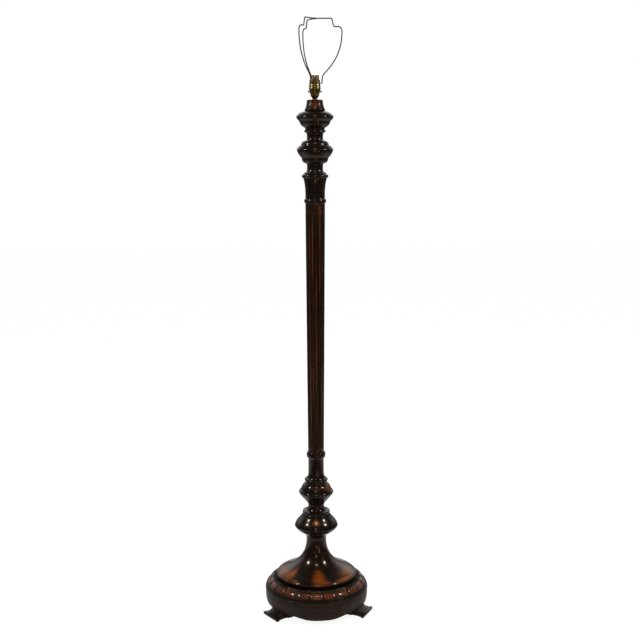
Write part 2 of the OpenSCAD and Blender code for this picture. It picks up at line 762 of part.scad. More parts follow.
module collar() {
    flare_z = co_bead_h;
    lip_z = flare_z + co_flare_h;
    fillet = 2.5;
    roll_h = co_lip_h * 0.66;
    outline = concat(
        [[shaft_head_r, 0], [shaft_head_r + 0.6, fillet]],
        bead(co_waist_r + 0.6, co_bead_r, fillet, co_bead_h - fillet, 8),
        curve([co_waist_r, flare_z], [co_waist_r - 0.4, flare_z + co_flare_h * 0.5],
            [co_flare_r - 4.4, flare_z + co_flare_h * 0.8], [co_flare_r, lip_z], 10),
        bead(co_flare_r, co_lip_r, lip_z, lip_z + roll_h, 7),
        [[co_flare_r - 1, lip_z + roll_h], [co_flare_r - 4, co_h - 0.5], [co_flare_r - 4, co_h]]
    );
    color(wood) translate([0, 0, co_z]) turning(outline, co_h);
}

module upper_baluster() {
    cup_z = ub_neck_h;
    under_z = cup_z + ub_cup_h;
    rim_z = under_z + ub_under_h;
    crown_z = rim_z + ub_shoulder_h;
    outline = concat(
        level_up([ub_neck_r + 6, 0], [ub_neck_r, cup_z * 0.45], 5),
        [[ub_neck_r + 0.6, cup_z - 2]],
        level_up([ub_neck_r + 1.8, cup_z], [ub_cup_r, under_z - 3], 6),
        [[ub_cup_r + 1, under_z - 1]],
        curve([ub_cup_r + 2, under_z], [ub_cup_r + 8, under_z + ub_under_h * 0.3],
            [ub_rim_r - 0.8, under_z + ub_under_h * 0.65], [ub_rim_r, rim_z], 8),
        curve([ub_rim_r, rim_z], [ub_rim_r - 0.4, rim_z + ub_shoulder_h * 0.3],
            [ub_shoulder_r + 3.7, rim_z + ub_shoulder_h * 0.68], [ub_shoulder_r, crown_z], 6),
        up_level([ub_crown_r, crown_z + 0.6], [uk_neck_r + 6, ub_h - 2.5], 6)
    );
    color(wood) translate([0, 0, ub_z]) turning(concat(outline, [[uk_neck_r + 2, ub_h]]), ub_h);
}

module upper_knop() {
    flange_z = uk_neck_h;
    bowl_z = flange_z + uk_flange_h;
    under_z = bowl_z + uk_bowl_h;
    rim_z = under_z + uk_under_h;
    throat_r = uk_flange_r - 3.4;
    outline = concat(
        level_up([uk_neck_r + 2, 0], [uk_neck_r, flange_z * 0.4], 5),
        [[uk_neck_r + 0.4, flange_z * 0.75], [uk_neck_r + 2.4, flange_z]],
        bead(uk_flange_r - 4, uk_flange_r, flange_z, flange_z + uk_flange_h * 0.58, 6),
        [[throat_r, bowl_z - 2]],
        curve([throat_r + 0.3, bowl_z], [throat_r + 7, bowl_z + uk_bowl_h * 0.22],
            [uk_bowl_r - 2.5, bowl_z + uk_bowl_h * 0.45], [uk_bowl_r, under_z - 1], 8),
        [[uk_bowl_r + 0.8, under_z + 1]],
        curve([uk_bowl_r + 1, under_z + 1.5], [uk_bowl_r + 4, under_z + uk_under_h * 0.4],
            [uk_rim_r, under_z + uk_under_h * 0.6], [uk_rim_r, rim_z], 7),
        curve([uk_rim_r, rim_z], [uk_rim_r, rim_z + uk_top_h * 0.3],
            [uk_rim_r - 10, rim_z + uk_top_h * 0.82], [cap_foot_r - 3, uk_h], 10)
    );
    color(wood) translate([0, 0, uk_z]) turning(outline, uk_h);
}

module cap() {
    h = cap_foot_h + cap_flare_h;
    outline = concat(
        [[cap_foot_r - 3, 0]],
        bead(cap_foot_r - 2, cap_foot_r, 0.5, cap_foot_h, 6),
        curve([cap_foot_r - 1.3, cap_foot_h + 0.3], [cap_head_r + 3.6, cap_foot_h + cap_flare_h * 0.22],
            [cap_head_r + 1, cap_foot_h + cap_flare_h * 0.5], [cap_head_r + 0.6, h - 3], 9),
        up_level([cap_head_r + 0.6, h - 3], [cap_head_r - 2, h], 5)
    );
    color(wood) translate([0, 0, cap_z]) turning(outline, h, socket = false);
}

// ---- Tie tube and its fixings ----

// Level of the lampholder's foot, and how deep the tube screws into it
holder_z = cap_top_z + seat_nut_t;
cup_floor = 5.5;
tube_z = deck_under_z - washer_t - nut_t - tube_tail;

// Hollow threaded tube that clamps the whole column and leads the cable up
module tie_tube() {
    h = holder_z + cup_floor - 0.3 - tube_z;
    color(steel) translate([0, 0, tube_z]) difference() {
        cylinder(r = tube_r, h = h);
        translate([0, 0, -1]) cylinder(r = tube_r - tube_wall, h = h + 2);
    }
}

module base_washer() {
    color(steel) translate([0, 0, deck_under_z - washer_t]) difference() {
        cylinder(r = washer_r, h = washer_t);
        translate([0, 0, -1]) cylinder(r = tube_r + run_gap, h = washer_t + 2);
    }
}

module base_nut() {
    color(steel) translate([0, 0, deck_under_z - washer_t - nut_t]) difference() {
        cylinder(r = nut_af / 2 / cos(30), h = nut_t, $fn = 6);
        translate([0, 0, -1]) cylinder(r = tube_r + run_gap, h = nut_t + 2);
    }
}

module seat_nut() {
    color(brass) translate([0, 0, cap_top_z]) difference() {
        union() {
            cylinder(r = seat_nut_r, h = seat_nut_t - 0.8);
            translate([0, 0, seat_nut_t - 0.8]) cylinder(r1 = seat_nut_r, r2 = seat_nut_r - 0.8, h = 0.8);
        }
        translate([0, 0, -1]) cylinder(r = tube_r + run_gap, h = seat_nut_t + 2);
    }
}

// ---- Lampholder, drawn from its foot up ----

shoulder_z = shell_low_h + shell_high_h;
barrel_r = socket_r + barrel_wall;
barrel_top = shoulder_z + barrel_h;
barrel_foot = shoulder_z - barrel_tail;
// The bore widens below the bayonet guide
relief_r = socket_r + 0.6;
relief_top = barrel_top - socket_h;
lip_in_r = socket_r - 0.9;
lip_h = 1.2;
// Height of the shell's cone, and its outer radius at a height on the cone
cone_top = shell_low_h - 3;
function cone_r(z) = cup_head_r + (shell_r - cup_head_r) * (z - cup_h) / (cone_top - cup_h);

module at_holder() { translate([0, 0, holder_z]) children(); }

// Screwed cup at the foot, with the lap that the shell screws on to
module holder_cup() {
    lap_t = 0.8;
    lap_h = 3;
    lap_r = cup_head_r - shell_wall - 0.1;
    outline = [
        [0, 0], [cup_foot_r, 0], [cup_foot_r + 0.4, 1.5],
        [(cup_foot_r + cup_head_r) / 2 + 0.7, cup_h / 2], [cup_head_r, cup_h],
        [cup_head_r - shell_wall, cup_h], [(cup_foot_r + cup_head_r) / 2 + 0.7 - shell_wall, cup_h / 2],
        [cup_foot_r - shell_wall, cup_floor], [0, cup_floor]
    ];
    color(brass) at_holder() difference() {
        union() {
            rotate_extrude() polygon(outline);
            translate([0, 0, cup_h - lap_h]) difference() {
                cylinder(r = lap_r, h = 2 * lap_h);
                translate([0, 0, -1]) cylinder(r = lap_r - lap_t, h = 2 * lap_h + 2);
            }
        }
        translate([0, 0, -1]) cylinder(r = tube_r + run_gap, h = cup_floor + 2);
    }
}

// Fibre bush that grips the cable above the tube's end
module cord_grip() {
    color(fibre) at_holder() translate([0, 0, cup_floor]) difference() {
        cylinder(r = cup_foot_r - shell_wall - 0.3, h = 4);
        translate([0, 0, -1]) cylinder(r = tube_r - tube_wall, h = 6);
    }
}

module holder_shell() {
    top_r = shell_r - 0.8;
    seat = cup_h + 0.05;
    skin = [
        [cup_head_r, seat], [shell_r, cone_top], [shell_r, shell_low_h],
        [top_r, shoulder_z - 1], [top_r - 0.6, shoulder_z]
    ];
    lining = [
        [barrel_r + run_gap, shoulder_z], [barrel_r + run_gap, shoulder_z - shell_wall],
        [top_r - shell_wall, shoulder_z - shell_wall], [shell_r - shell_wall, shell_low_h],
        [shell_r - shell_wall, cone_top], [cup_head_r - shell_wall + 0.05, seat]
    ];
    color(brass) at_holder() difference() {
        rotate_extrude() polygon(concat(skin, lining));
        translate([-2 * shell_r, 0, bar_z]) rotate([0, 90, 0]) cylinder(r = bar_r + run_gap, h = 4 * shell_r);
    }
}

// Bayonet barrel, with a flange on the shell's shoulder and two hooked slots
module barrel() {
    flange_r = shade_ring_r;
    outline = [
        [lip_in_r, barrel_foot], [barrel_r, barrel_foot], [barrel_r, shoulder_z],
        [flange_r, shoulder_z], [flange_r, shoulder_z + flange_t], [barrel_r, shoulder_z + flange_t],
        [barrel_r, barrel_top], [socket_r, barrel_top], [socket_r, relief_top],
        [relief_r, relief_top - 0.3], [relief_r, barrel_foot + lip_h], [lip_in_r, barrel_foot + lip_h]
    ];
    hook = 18;
    color(brass) at_holder() difference() {
        rotate_extrude() polygon(outline);
        for (a = [90, 270]) rotate([0, 0, a]) {
            translate([socket_r - 2, -slot_w / 2, barrel_top - slot_d])
                cube([barrel_wall + 4, slot_w, slot_d + 1]);
            translate([0, 0, barrel_top - slot_d]) rotate_extrude(angle = hook)
                translate([socket_r - 2, 0]) square([barrel_wall + 4, slot_w]);
        }
    }
}

// Thickness of the barrel's flange
flange_t = 1;
insulator_z = barrel_foot + lip_h + 0.1;
insulator_top = relief_top - 3.5;
plunger_tip = relief_top - 0.2;
pocket_h = 3.2;
spring_z = insulator_z + pocket_h + 1.5;
spring_h = 9;
terminal_w = 5;

module at_plungers() {
    for (s = [-1, 1]) translate([s * plunger_half, 0, 0]) children();
}

module insulator() {
    color(fibre) at_holder() difference() {
        translate([0, 0, insulator_z]) cylinder(r = relief_r - 0.1, h = insulator_top - insulator_z);
        at_plungers() {
            translate([0, 0, spring_z]) cylinder(r = plunger_r + run_gap, h = barrel_h);
            translate([-terminal_w / 2 - 0.15, -terminal_w / 2 - 0.15, insulator_z - 1])
                cube([terminal_w + 0.3, terminal_w + 0.3, pocket_h + 1]);
        }
    }
}

module plunger(side) {
    nose = 0.8;
    foot_z = spring_z + spring_h;
    color(brass) at_holder() translate([side * plunger_half, 0, 0]) {
        translate([0, 0, foot_z]) cylinder(r = plunger_r, h = plunger_tip - nose - foot_z);
        translate([0, 0, plunger_tip - nose]) cylinder(r1 = plunger_r, r2 = plunger_r - nose, h = nose);
    }
}

module plunger_left() { plunger(-1); }
module plunger_right() { plunger(1); }

// Spring under a plunger, drawn as the sleeve that its coil fills
module plunger_spring(side) {
    color(steel) at_holder() translate([side * plunger_half, 0, spring_z]) difference() {
        cylinder(r = plunger_r - 0.1, h = spring_h);
        translate([0, 0, -1]) cylinder(r = plunger_r - 0.9, h = spring_h + 2);
    }
}

module spring_left() { plunger_spring(-1); }
module spring_right() { plunger_spring(1); }

module terminals() {
    h = pocket_h - 0.3;
    color(brass) at_holder() at_plungers() difference() {
        translate([-terminal_w / 2, -terminal_w / 2, insulator_z + 0.1]) cube([terminal_w, terminal_w, h]);
        translate([0, 0, insulator_z - 1]) cylinder(r = 1.1, h = 3.4);
    }
}

module terminal_screws() {
    head_h = 1.1;
    color(brass) at_holder() at_plungers() {
        translate([0, 0, insulator_z + 0.05 - head_h]) cylinder(r = 1.8, h = head_h);
        translate([0, 0, insulator_z - head_h + 0.1]) cylinder(r = 1, h = 3);
    }
}

// Where the knobs' inner faces stand, clear of the shell over the bar's whole travel
knob_in = cone_r(bar_z + knob_r) + ring_gap + bar_travel;

// Insulating bar pushed from either side to switch the lamp
module push_bar() {
    reach = knob_in + knob_l - 0.8;
    color(black) at_holder() translate([-reach, 0, bar_z]) rotate([0, 90, 0])
        cylinder(r = bar_r, h = 2 * reach);
}

module push_knob(side) {
    edge = 0.6;
    color(black) at_holder() translate([side * knob_in, 0, bar_z]) rotate([0, side * 90, 0]) difference() {
        union() {
            cylinder(r = knob_r, h = knob_l - edge);
            translate([0, 0, knob_l - edge]) cylinder(r1 = knob_r, r2 = knob_r - edge, h = edge);
        }
        translate([0, 0, -1]) cylinder(r = bar_r + run_gap, h = knob_l + 1 - 0.7);
    }
}

module push_knob_left() { push_knob(-1); }
module push_knob_right() { push_knob(1); }

// Contact block carried by the bar
module switch_bridge() {
    w = 5;
    color(fibre) at_holder() difference() {
        translate([-w / 2, -w / 2, bar_z - w / 2]) cube([w, w, w]);
        translate([-w, 0, bar_z]) rotate([0, 90, 0]) cylinder(r = bar_r + run_gap, h = 2 * w);
    }
}

// ---- Shade carrier ----

carrier_z = shoulder_z + flange_t + ring_gap;
turn_r = barrel_r + ring_gap;
// Bend radius at an arm's foot, and the end of the lug that the foot is soldered to
foot_bend_r = 2.5;
lug_r = arm_foot_r - foot_bend_r - wire_r - 0.3;

// Screwed ring that holds the carrier down on the flange
module shade_ring() {
    z = carrier_z + carrier_ring_t + ring_gap;
    edge = 0.8;
    outline = [
        [turn_r, z], [shade_ring_r - edge, z], [shade_ring_r, z + edge],
        [shade_ring_r, z + shade_ring_h - edge], [shade_ring_r - edge, z + shade_ring_h],
        [turn_r, z + shade_ring_h]
    ];
    color(brass) at_holder() rotate_extrude() polygon(outline);
}

carrier_turns = [0, 120, 240];

// Flat ring with a lug under each arm
module carrier_ring() {
    lug_w = 4.5;
    color(dark_wire) at_holder() translate([0, 0, carrier_z]) difference() {
        union() {
            cylinder(r = shade_ring_r + 0.4, h = carrier_ring_t);
            for (a = carrier_turns) rotate([0, 0, carrier_turn + a])
                translate([turn_r + 1, -lug_w / 2, 0]) cube([lug_r - turn_r - 1, lug_w, carrier_ring_t]);
        }
        translate([0, 0, -1]) cylinder(r = turn_r, h = carrier_ring_t + 2);
    }
}

// An arm's run as steps of [straight length, bend radius, turn], read from the lug outwards
arm_steps = [
    [arm_foot_r - lug_r - foot_bend_r, foot_bend_r, 90],
    [arm_foot_h, flare_bend_r, -flare_lean],
    [0, bow_r, flare_lean],
    [bow_rise, shoulder_bend_r, 90],
    [shoulder_l, small_bend_r, riser_lean - 90],
    [riser_l, small_bend_r, 90 - riser_lean]
];
arm_start = [lug_r, holder_z + carrier_z + carrier_ring_t / 2, 0];

// Place and heading [radius, height, angle] after one step, and after the first i steps
function after_step(p, s) = let (
    q = [p[0] + s[0] * cos(p[2]), p[1] + s[0] * sin(p[2])],
    side = sign(s[2]) * s[1],
    a = p[2] + s[2]
) [q[0] - side * sin(p[2]) + side * sin(a), q[1] + side * cos(p[2]) - side * cos(a), a];
function arm_at(i) = i == 0 ? arm_start : after_step(arm_at(i - 1), arm_steps[i - 1]);
arm_end = arm_at(len(arm_steps));

// Hair-thick swelling that closes each change from straight to bend
swell_at_bend = 0.02;

// Round wire laid along the steps from number i on, starting along +X and bending in the XZ plane
module bent_wire(steps, last_l, i = 0) {
    if (i == len(steps)) {
        rotate([0, 90, 0]) cylinder(r = wire_r, h = last_l, $fn = 24);
    } else {
        l = steps[i][0];
        r = steps[i][1];
        t = steps[i][2];
        if (l > 0) rotate([0, 90, 0]) cylinder(r = wire_r, h = l, $fn = 24);
        translate([l, 0, 0]) sphere(r = wire_r + swell_at_bend, $fn = 24);
        translate([l, 0, sign(t) * r]) rotate([90, 0, 0]) rotate([0, 0, t > 0 ? -90 : 90 + t])
            rotate_extrude(angle = abs(t)) translate([r, 0]) circle(r = wire_r, $fn = 24);
        translate([l + r * sin(abs(t)), 0, sign(t) * r * (1 - cos(t))]) rotate([0, -t, 0]) {
            sphere(r = wire_r + swell_at_bend, $fn = 24);
            bent_wire(steps, last_l, i + 1);
        }
    }
}

module carrier_arm(i) {
    last_l = arm_end[0] - boss_r + boss_hole_l - 0.1;
    color(dark_wire) rotate([0, 0, carrier_turn + carrier_turns[i]])
        translate([arm_start[0], 0, arm_start[1]]) bent_wire(arm_steps, last_l);
}

module carrier_arm_right() { carrier_arm(0); }
module carrier_arm_back() { carrier_arm(1); }
module carrier_arm_front() { carrier_arm(2); }

// Depth of the boss's blind holes
boss_hole_l = 1.5;

// Boss where the three arms meet, each soldered into a blind hole
module carrier_boss() {
    h = 2 * wire_r + 1;
    color(dark_wire) translate([0, 0, arm_end[1]]) difference() {
        translate([0, 0, -h / 2]) cylinder(r = boss_r, h = h);
        for (a = carrier_turns) rotate([0, 0, carrier_turn + a]) translate([boss_r - boss_hole_l, 0, 0])
            rotate([0, 90, 0]) cylinder(r = wire_r + swell_at_bend, h = boss_r);
    }
}

plinth();
apron();
foot_left();
foot_right();
foot_back();
foot_screws();
ballast();
ballast_screws();
outlet_bush();
gadroon_ring();
base_dome();
lower_knop();
lower_baluster();
lower_neck();
fluted_shaft();
collar();
upper_baluster();
upper_knop();
cap();
tie_tube();
base_washer();
base_nut();
seat_nut();
holder_cup();
cord_grip();
holder_shell();
barrel();
insulator();
plunger_left();
plunger_right();
spring_left();
spring_right();
terminals();
terminal_screws();
push_bar();
push_knob_left();
push_knob_right();
switch_bridge();
shade_ring();
carrier_ring();
carrier_arm_right();
carrier_arm_back();
carrier_arm_front();
carrier_boss();
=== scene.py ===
# A turned and carved wooden floor lamp on three bracket feet, put together from the floor up.
import math
import random

import bmesh
import bpy
from mathutils import Matrix, Vector


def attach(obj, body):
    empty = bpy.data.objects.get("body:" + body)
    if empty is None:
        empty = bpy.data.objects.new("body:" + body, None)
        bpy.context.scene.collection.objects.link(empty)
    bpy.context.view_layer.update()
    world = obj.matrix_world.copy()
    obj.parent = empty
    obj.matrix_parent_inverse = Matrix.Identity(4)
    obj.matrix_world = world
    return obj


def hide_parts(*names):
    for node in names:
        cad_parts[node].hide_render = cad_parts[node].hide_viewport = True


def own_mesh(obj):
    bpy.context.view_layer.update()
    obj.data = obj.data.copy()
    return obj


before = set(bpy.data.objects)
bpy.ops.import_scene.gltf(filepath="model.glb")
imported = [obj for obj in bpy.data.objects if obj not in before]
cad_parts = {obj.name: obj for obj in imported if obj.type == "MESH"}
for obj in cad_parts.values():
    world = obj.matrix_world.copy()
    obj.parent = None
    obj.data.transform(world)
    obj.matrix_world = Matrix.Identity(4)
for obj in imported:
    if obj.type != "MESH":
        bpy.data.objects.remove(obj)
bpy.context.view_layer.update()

# ---- Camera, floor and studio light ----
# The lamp stands on white paper in a studio. The camera is a little over three metres off, at the
# height of the upper shaft, and looks down on the base. Two soft boxes hang high at either side, and
# a warm one over the front, a strip at the right and pale cards by the floor and the eye fill in.
# A broad light behind, which the varnish doesn't mirror, lifts the paper.
eye_turn, eye_out, eye_up, eye_tilt = math.radians(264.5), 3.325, 1.481, math.radians(9.46)
lens = bpy.data.cameras.new("camera")
lens.sensor_width, lens.lens, lens.shift_x, lens.clip_end = 36.0, 61.5, 0.0069, 60.0
camera = bpy.data.objects.new("camera", lens)
camera.matrix_world = (Matrix.Translation((eye_out * math.cos(eye_turn), eye_out * math.sin(eye_turn),
                                           eye_up))
                       @ Matrix.Rotation(eye_turn + math.pi / 2, 4, "Z")
                       @ Matrix.Rotation(math.pi / 2 - eye_tilt, 4,
                                         "X") @ Matrix.Rotation(math.radians(-0.2), 4, "Z"))
bpy.context.scene.collection.objects.link(camera)
bpy.context.scene.camera = camera
bpy.context.scene.view_settings.view_transform = "Standard"


def node(tree, kind, settings=None, **inputs):
    """Adds a shader node. Inputs are values, or sockets to link from."""
    n = tree.nodes.new("ShaderNode" + kind)
    for key, value in (settings or {}).items():
        setattr(n, key, value)
    for key, value in inputs.items():
        numbered = key[0] == "i" and key[1:].isdigit()
        socket = n.inputs[int(key[1:]) if numbered else key.replace("_", " ")]
        if isinstance(value, bpy.types.NodeSocket):
            tree.links.new(value, socket)
        else:
            socket.default_value = value
    return n


def soft_box(name, turn, out, up, aim, size, glow, tint=(1, 1, 1), mirrored=True):
    """Hangs a rectangular lamp that points at a height on the lamp's axis, mirrored in the varnish or not."""
    lamp = bpy.data.lights.new(name, "AREA")
    lamp.shape, lamp.size, lamp.size_y = "RECTANGLE", size[0], size[1]
    lamp.energy, lamp.color = glow, tint
    ob = bpy.data.objects.new(name, lamp)
    ob.location = (out * math.cos(math.radians(turn)), out * math.sin(math.radians(turn)), up)
    ob.rotation_euler = (Vector((0, 0, aim)) - ob.location).to_track_quat("-Z", "Y").to_euler()
    ob.visible_camera, ob.visible_glossy = False, mirrored
    bpy.context.scene.collection.objects.link(ob)


soft_box("soft_box_left", 194.5, 1.9, 2.3, 0.6, (0.36, 0.34), 15, (0.93, 0.97, 1.0))
soft_box("soft_box_right", 334.5, 1.9, 2.3, 0.6, (0.36, 0.34), 15, (0.95, 0.98, 1.0))
soft_box("front_box", 266, 1.3, 3.0, 0.4, (0.5, 0.2), 4, (1.0, 0.82, 0.58))
soft_box("warm_strip", 292, 1.3, 0.35, 0.3, (0.1, 0.5), 0.7, (1.0, 0.52, 0.2))
soft_box("floor_card", 266, 2.0, 0.02, 4.0, (0.5, 1.0), 2.5, (1.0, 0.86, 0.66))
soft_box("eye_card", 262, 2.6, 1.8, 1.6, (0.25, 0.5), 2.2, (1.0, 0.9, 0.76))
soft_box("back_light", 77, 2.6, 2.4, 0.8, (1.6, 1.2), 30, mirrored=False)

studio = bpy.data.worlds.new("studio")
bpy.context.scene.world = studio
studio.use_nodes = True
sky = studio.node_tree
sky.nodes.clear()
ray = node(sky, "LightPath")
way = node(sky, "SeparateXYZ", Vector=node(sky, "TexCoord").outputs["Generated"])
# The backdrop is lit behind the lamp, and the room is dark low down, overhead and towards the camera
behind = node(sky, "MapRange", {"interpolation_type": "SMOOTHSTEP"}, Value=way.outputs["Y"], From_Min=0.12,
              From_Max=0.95)
above = node(sky, "MapRange", {"interpolation_type": "SMOOTHSTEP"}, Value=way.outputs["Z"], From_Min=0.0,
             From_Max=0.4, To_Min=0.14)
ceiling = node(sky, "MapRange", {"interpolation_type": "SMOOTHSTEP"}, Value=way.outputs["Z"], From_Min=0.3,
               From_Max=0.8, To_Min=1.0, To_Max=0.2)
room = node(sky, "Math", {"operation": "MULTIPLY"}, i0=behind.outputs[0], i1=above.outputs[0])
room = node(sky, "Math", {"operation": "MULTIPLY"}, i0=room.outputs[0], i1=ceiling.outputs[0])
room = node(sky, "MapRange", Value=room.outputs[0], To_Min=0.04, To_Max=0.9)
lit = node(sky, "MapRange", Value=way.outputs["Z"], From_Min=-1.0, From_Max=1.0, To_Min=0.4, To_Max=0.6)
seen = node(sky, "Math", {"operation": "MAXIMUM"}, i0=ray.outputs["Is Glossy Ray"],
            i1=ray.outputs["Is Transmission Ray"])
indirect = node(sky, "Mix", {"data_type": "FLOAT"}, Factor=seen.outputs[0], i2=lit.outputs[0],
                i3=room.outputs[0])
shown = node(sky, "Mix", {"data_type": "FLOAT"}, Factor=ray.outputs["Is Camera Ray"],
             i2=indirect.outputs[0], i3=1.0)
back = node(sky, "Background", Color=(1, 1, 1, 1), Strength=shown.outputs[0])
node(sky, "OutputWorld", Surface=back.outputs[0])

floor_mesh = bpy.data.meshes.new("floor")
floor_mesh.from_pydata([(-12, -12, 0), (12, -12, 0), (12, 12, 0), (-12, 12, 0)], [], [(0, 1, 2, 3)])
floor = bpy.data.objects.new("floor", floor_mesh)
bpy.context.scene.collection.objects.link(floor)
paper = bpy.data.materials.new("white_paper_floor")
paper.use_nodes = True
sheet_tree = paper.node_tree
sheet_tree.nodes.clear()
floor_ray = node(sheet_tree, "LightPath")
# The paper is a small sheet under the lamp; the varnish mirrors pale boards beside and behind it
# and dim ones in front and farther off
spot = node(sheet_tree, "VectorMath", {"operation": "LENGTH"},
            i0=node(sheet_tree, "NewGeometry").outputs["Position"])
boards = node(sheet_tree, "MapRange", {"interpolation_type": "SMOOTHSTEP"}, Value=spot.outputs["Value"],
              From_Min=0.15, From_Max=0.7, To_Min=0.62, To_Max=1.0)
boards = node(sheet_tree, "Math", {"operation": "MULTIPLY"}, i0=boards.outputs[0],
              i1=floor_ray.outputs["Is Glossy Ray"])
spot_place = node(sheet_tree, "SeparateXYZ", Vector=node(sheet_tree, "NewGeometry").outputs["Position"])
rear = node(sheet_tree, "MapRange", {"interpolation_type": "SMOOTHSTEP"}, Value=spot_place.outputs["Y"],
            From_Min=-0.9, From_Max=0.1)
apart = node(sheet_tree, "MapRange", Value=spot.outputs["Value"], From_Min=1.6, From_Max=3.0, To_Min=1.0,
             To_Max=0.25)
rear = node(sheet_tree, "Math", {"operation": "MULTIPLY"}, i0=rear.outputs[0], i1=apart.outputs[0])
floorboards = node(sheet_tree, "Mix", {"data_type": "RGBA"}, Factor=rear.outputs[0],
                   i6=(0.06, 0.045, 0.035, 1), i7=(0.46, 0.43, 0.42, 1))
ground = node(sheet_tree, "Mix", {"data_type": "RGBA"}, Factor=boards.outputs[0], i6=(0.86, 0.86, 0.86, 1),
              i7=floorboards.outputs[2])
pale = node(sheet_tree, "BsdfDiffuse", Color=ground.outputs[2])
bright = node(sheet_tree, "Emission", Color=(1, 1, 1, 1), Strength=1.12)
share = node(sheet_tree, "Math", {"operation": "MULTIPLY"}, i0=floor_ray.outputs["Is Camera Ray"], i1=0.8)
both = node(sheet_tree, "MixShader", i0=share.outputs[0], i1=pale.outputs[0], i2=bright.outputs[0])
node(sheet_tree, "OutputMaterial", Surface=both.outputs[0])
floor_mesh.materials.append(paper)

# ---- Three bracket feet ----
# Each foot is sawn from a block of the same hardwood, stained nearly black and varnished. Its toe
# sweeps up to a neck, and two thin wings brace it sideways. Two screws hold it under the plinth.
foot_h, toe_t, toe_w, neck_w = 22.0, 7.0, 79.0, 60.0
toe_r, neck_r, root_r, wing_t, wing_half = 178.0, 148.0, 112.0, 18.0, 60.0
foot_turns = {"foot_left": 210, "foot_right": 330, "foot_back": 90}


def new_piece(name, points, faces, material, body="lamp", sharp=32):
    """Makes a mesh piece from points in millimetres, smooth-shaded with its hard edges kept."""
    me = bpy.data.meshes.new(name)
    me.from_pydata([(x * 0.001, y * 0.001, z * 0.001) for x, y, z in points], [], faces)
    bm = bmesh.new()
    bm.from_mesh(me)
    bmesh.ops.recalc_face_normals(bm, faces=bm.faces)
    bm.to_mesh(me)
    bm.free()
    me.shade_smooth()
    me.set_sharp_from_angle(angle=math.radians(sharp))
    ob = bpy.data.objects.new(name, me)
    bpy.context.scene.collection.objects.link(ob)
    me.materials.append(material)
    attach(ob, body)
    return ob


def settle(ob, sharp=32):
    """Turns a piece's modifiers into plain mesh."""
    bpy.context.view_layer.update()
    made = bpy.data.meshes.new_from_object(ob.evaluated_get(bpy.context.evaluated_depsgraph_get()))
    ob.modifiers.clear()
    ob.data = made
    made.shade_smooth()
    made.set_sharp_from_angle(angle=math.radians(sharp))


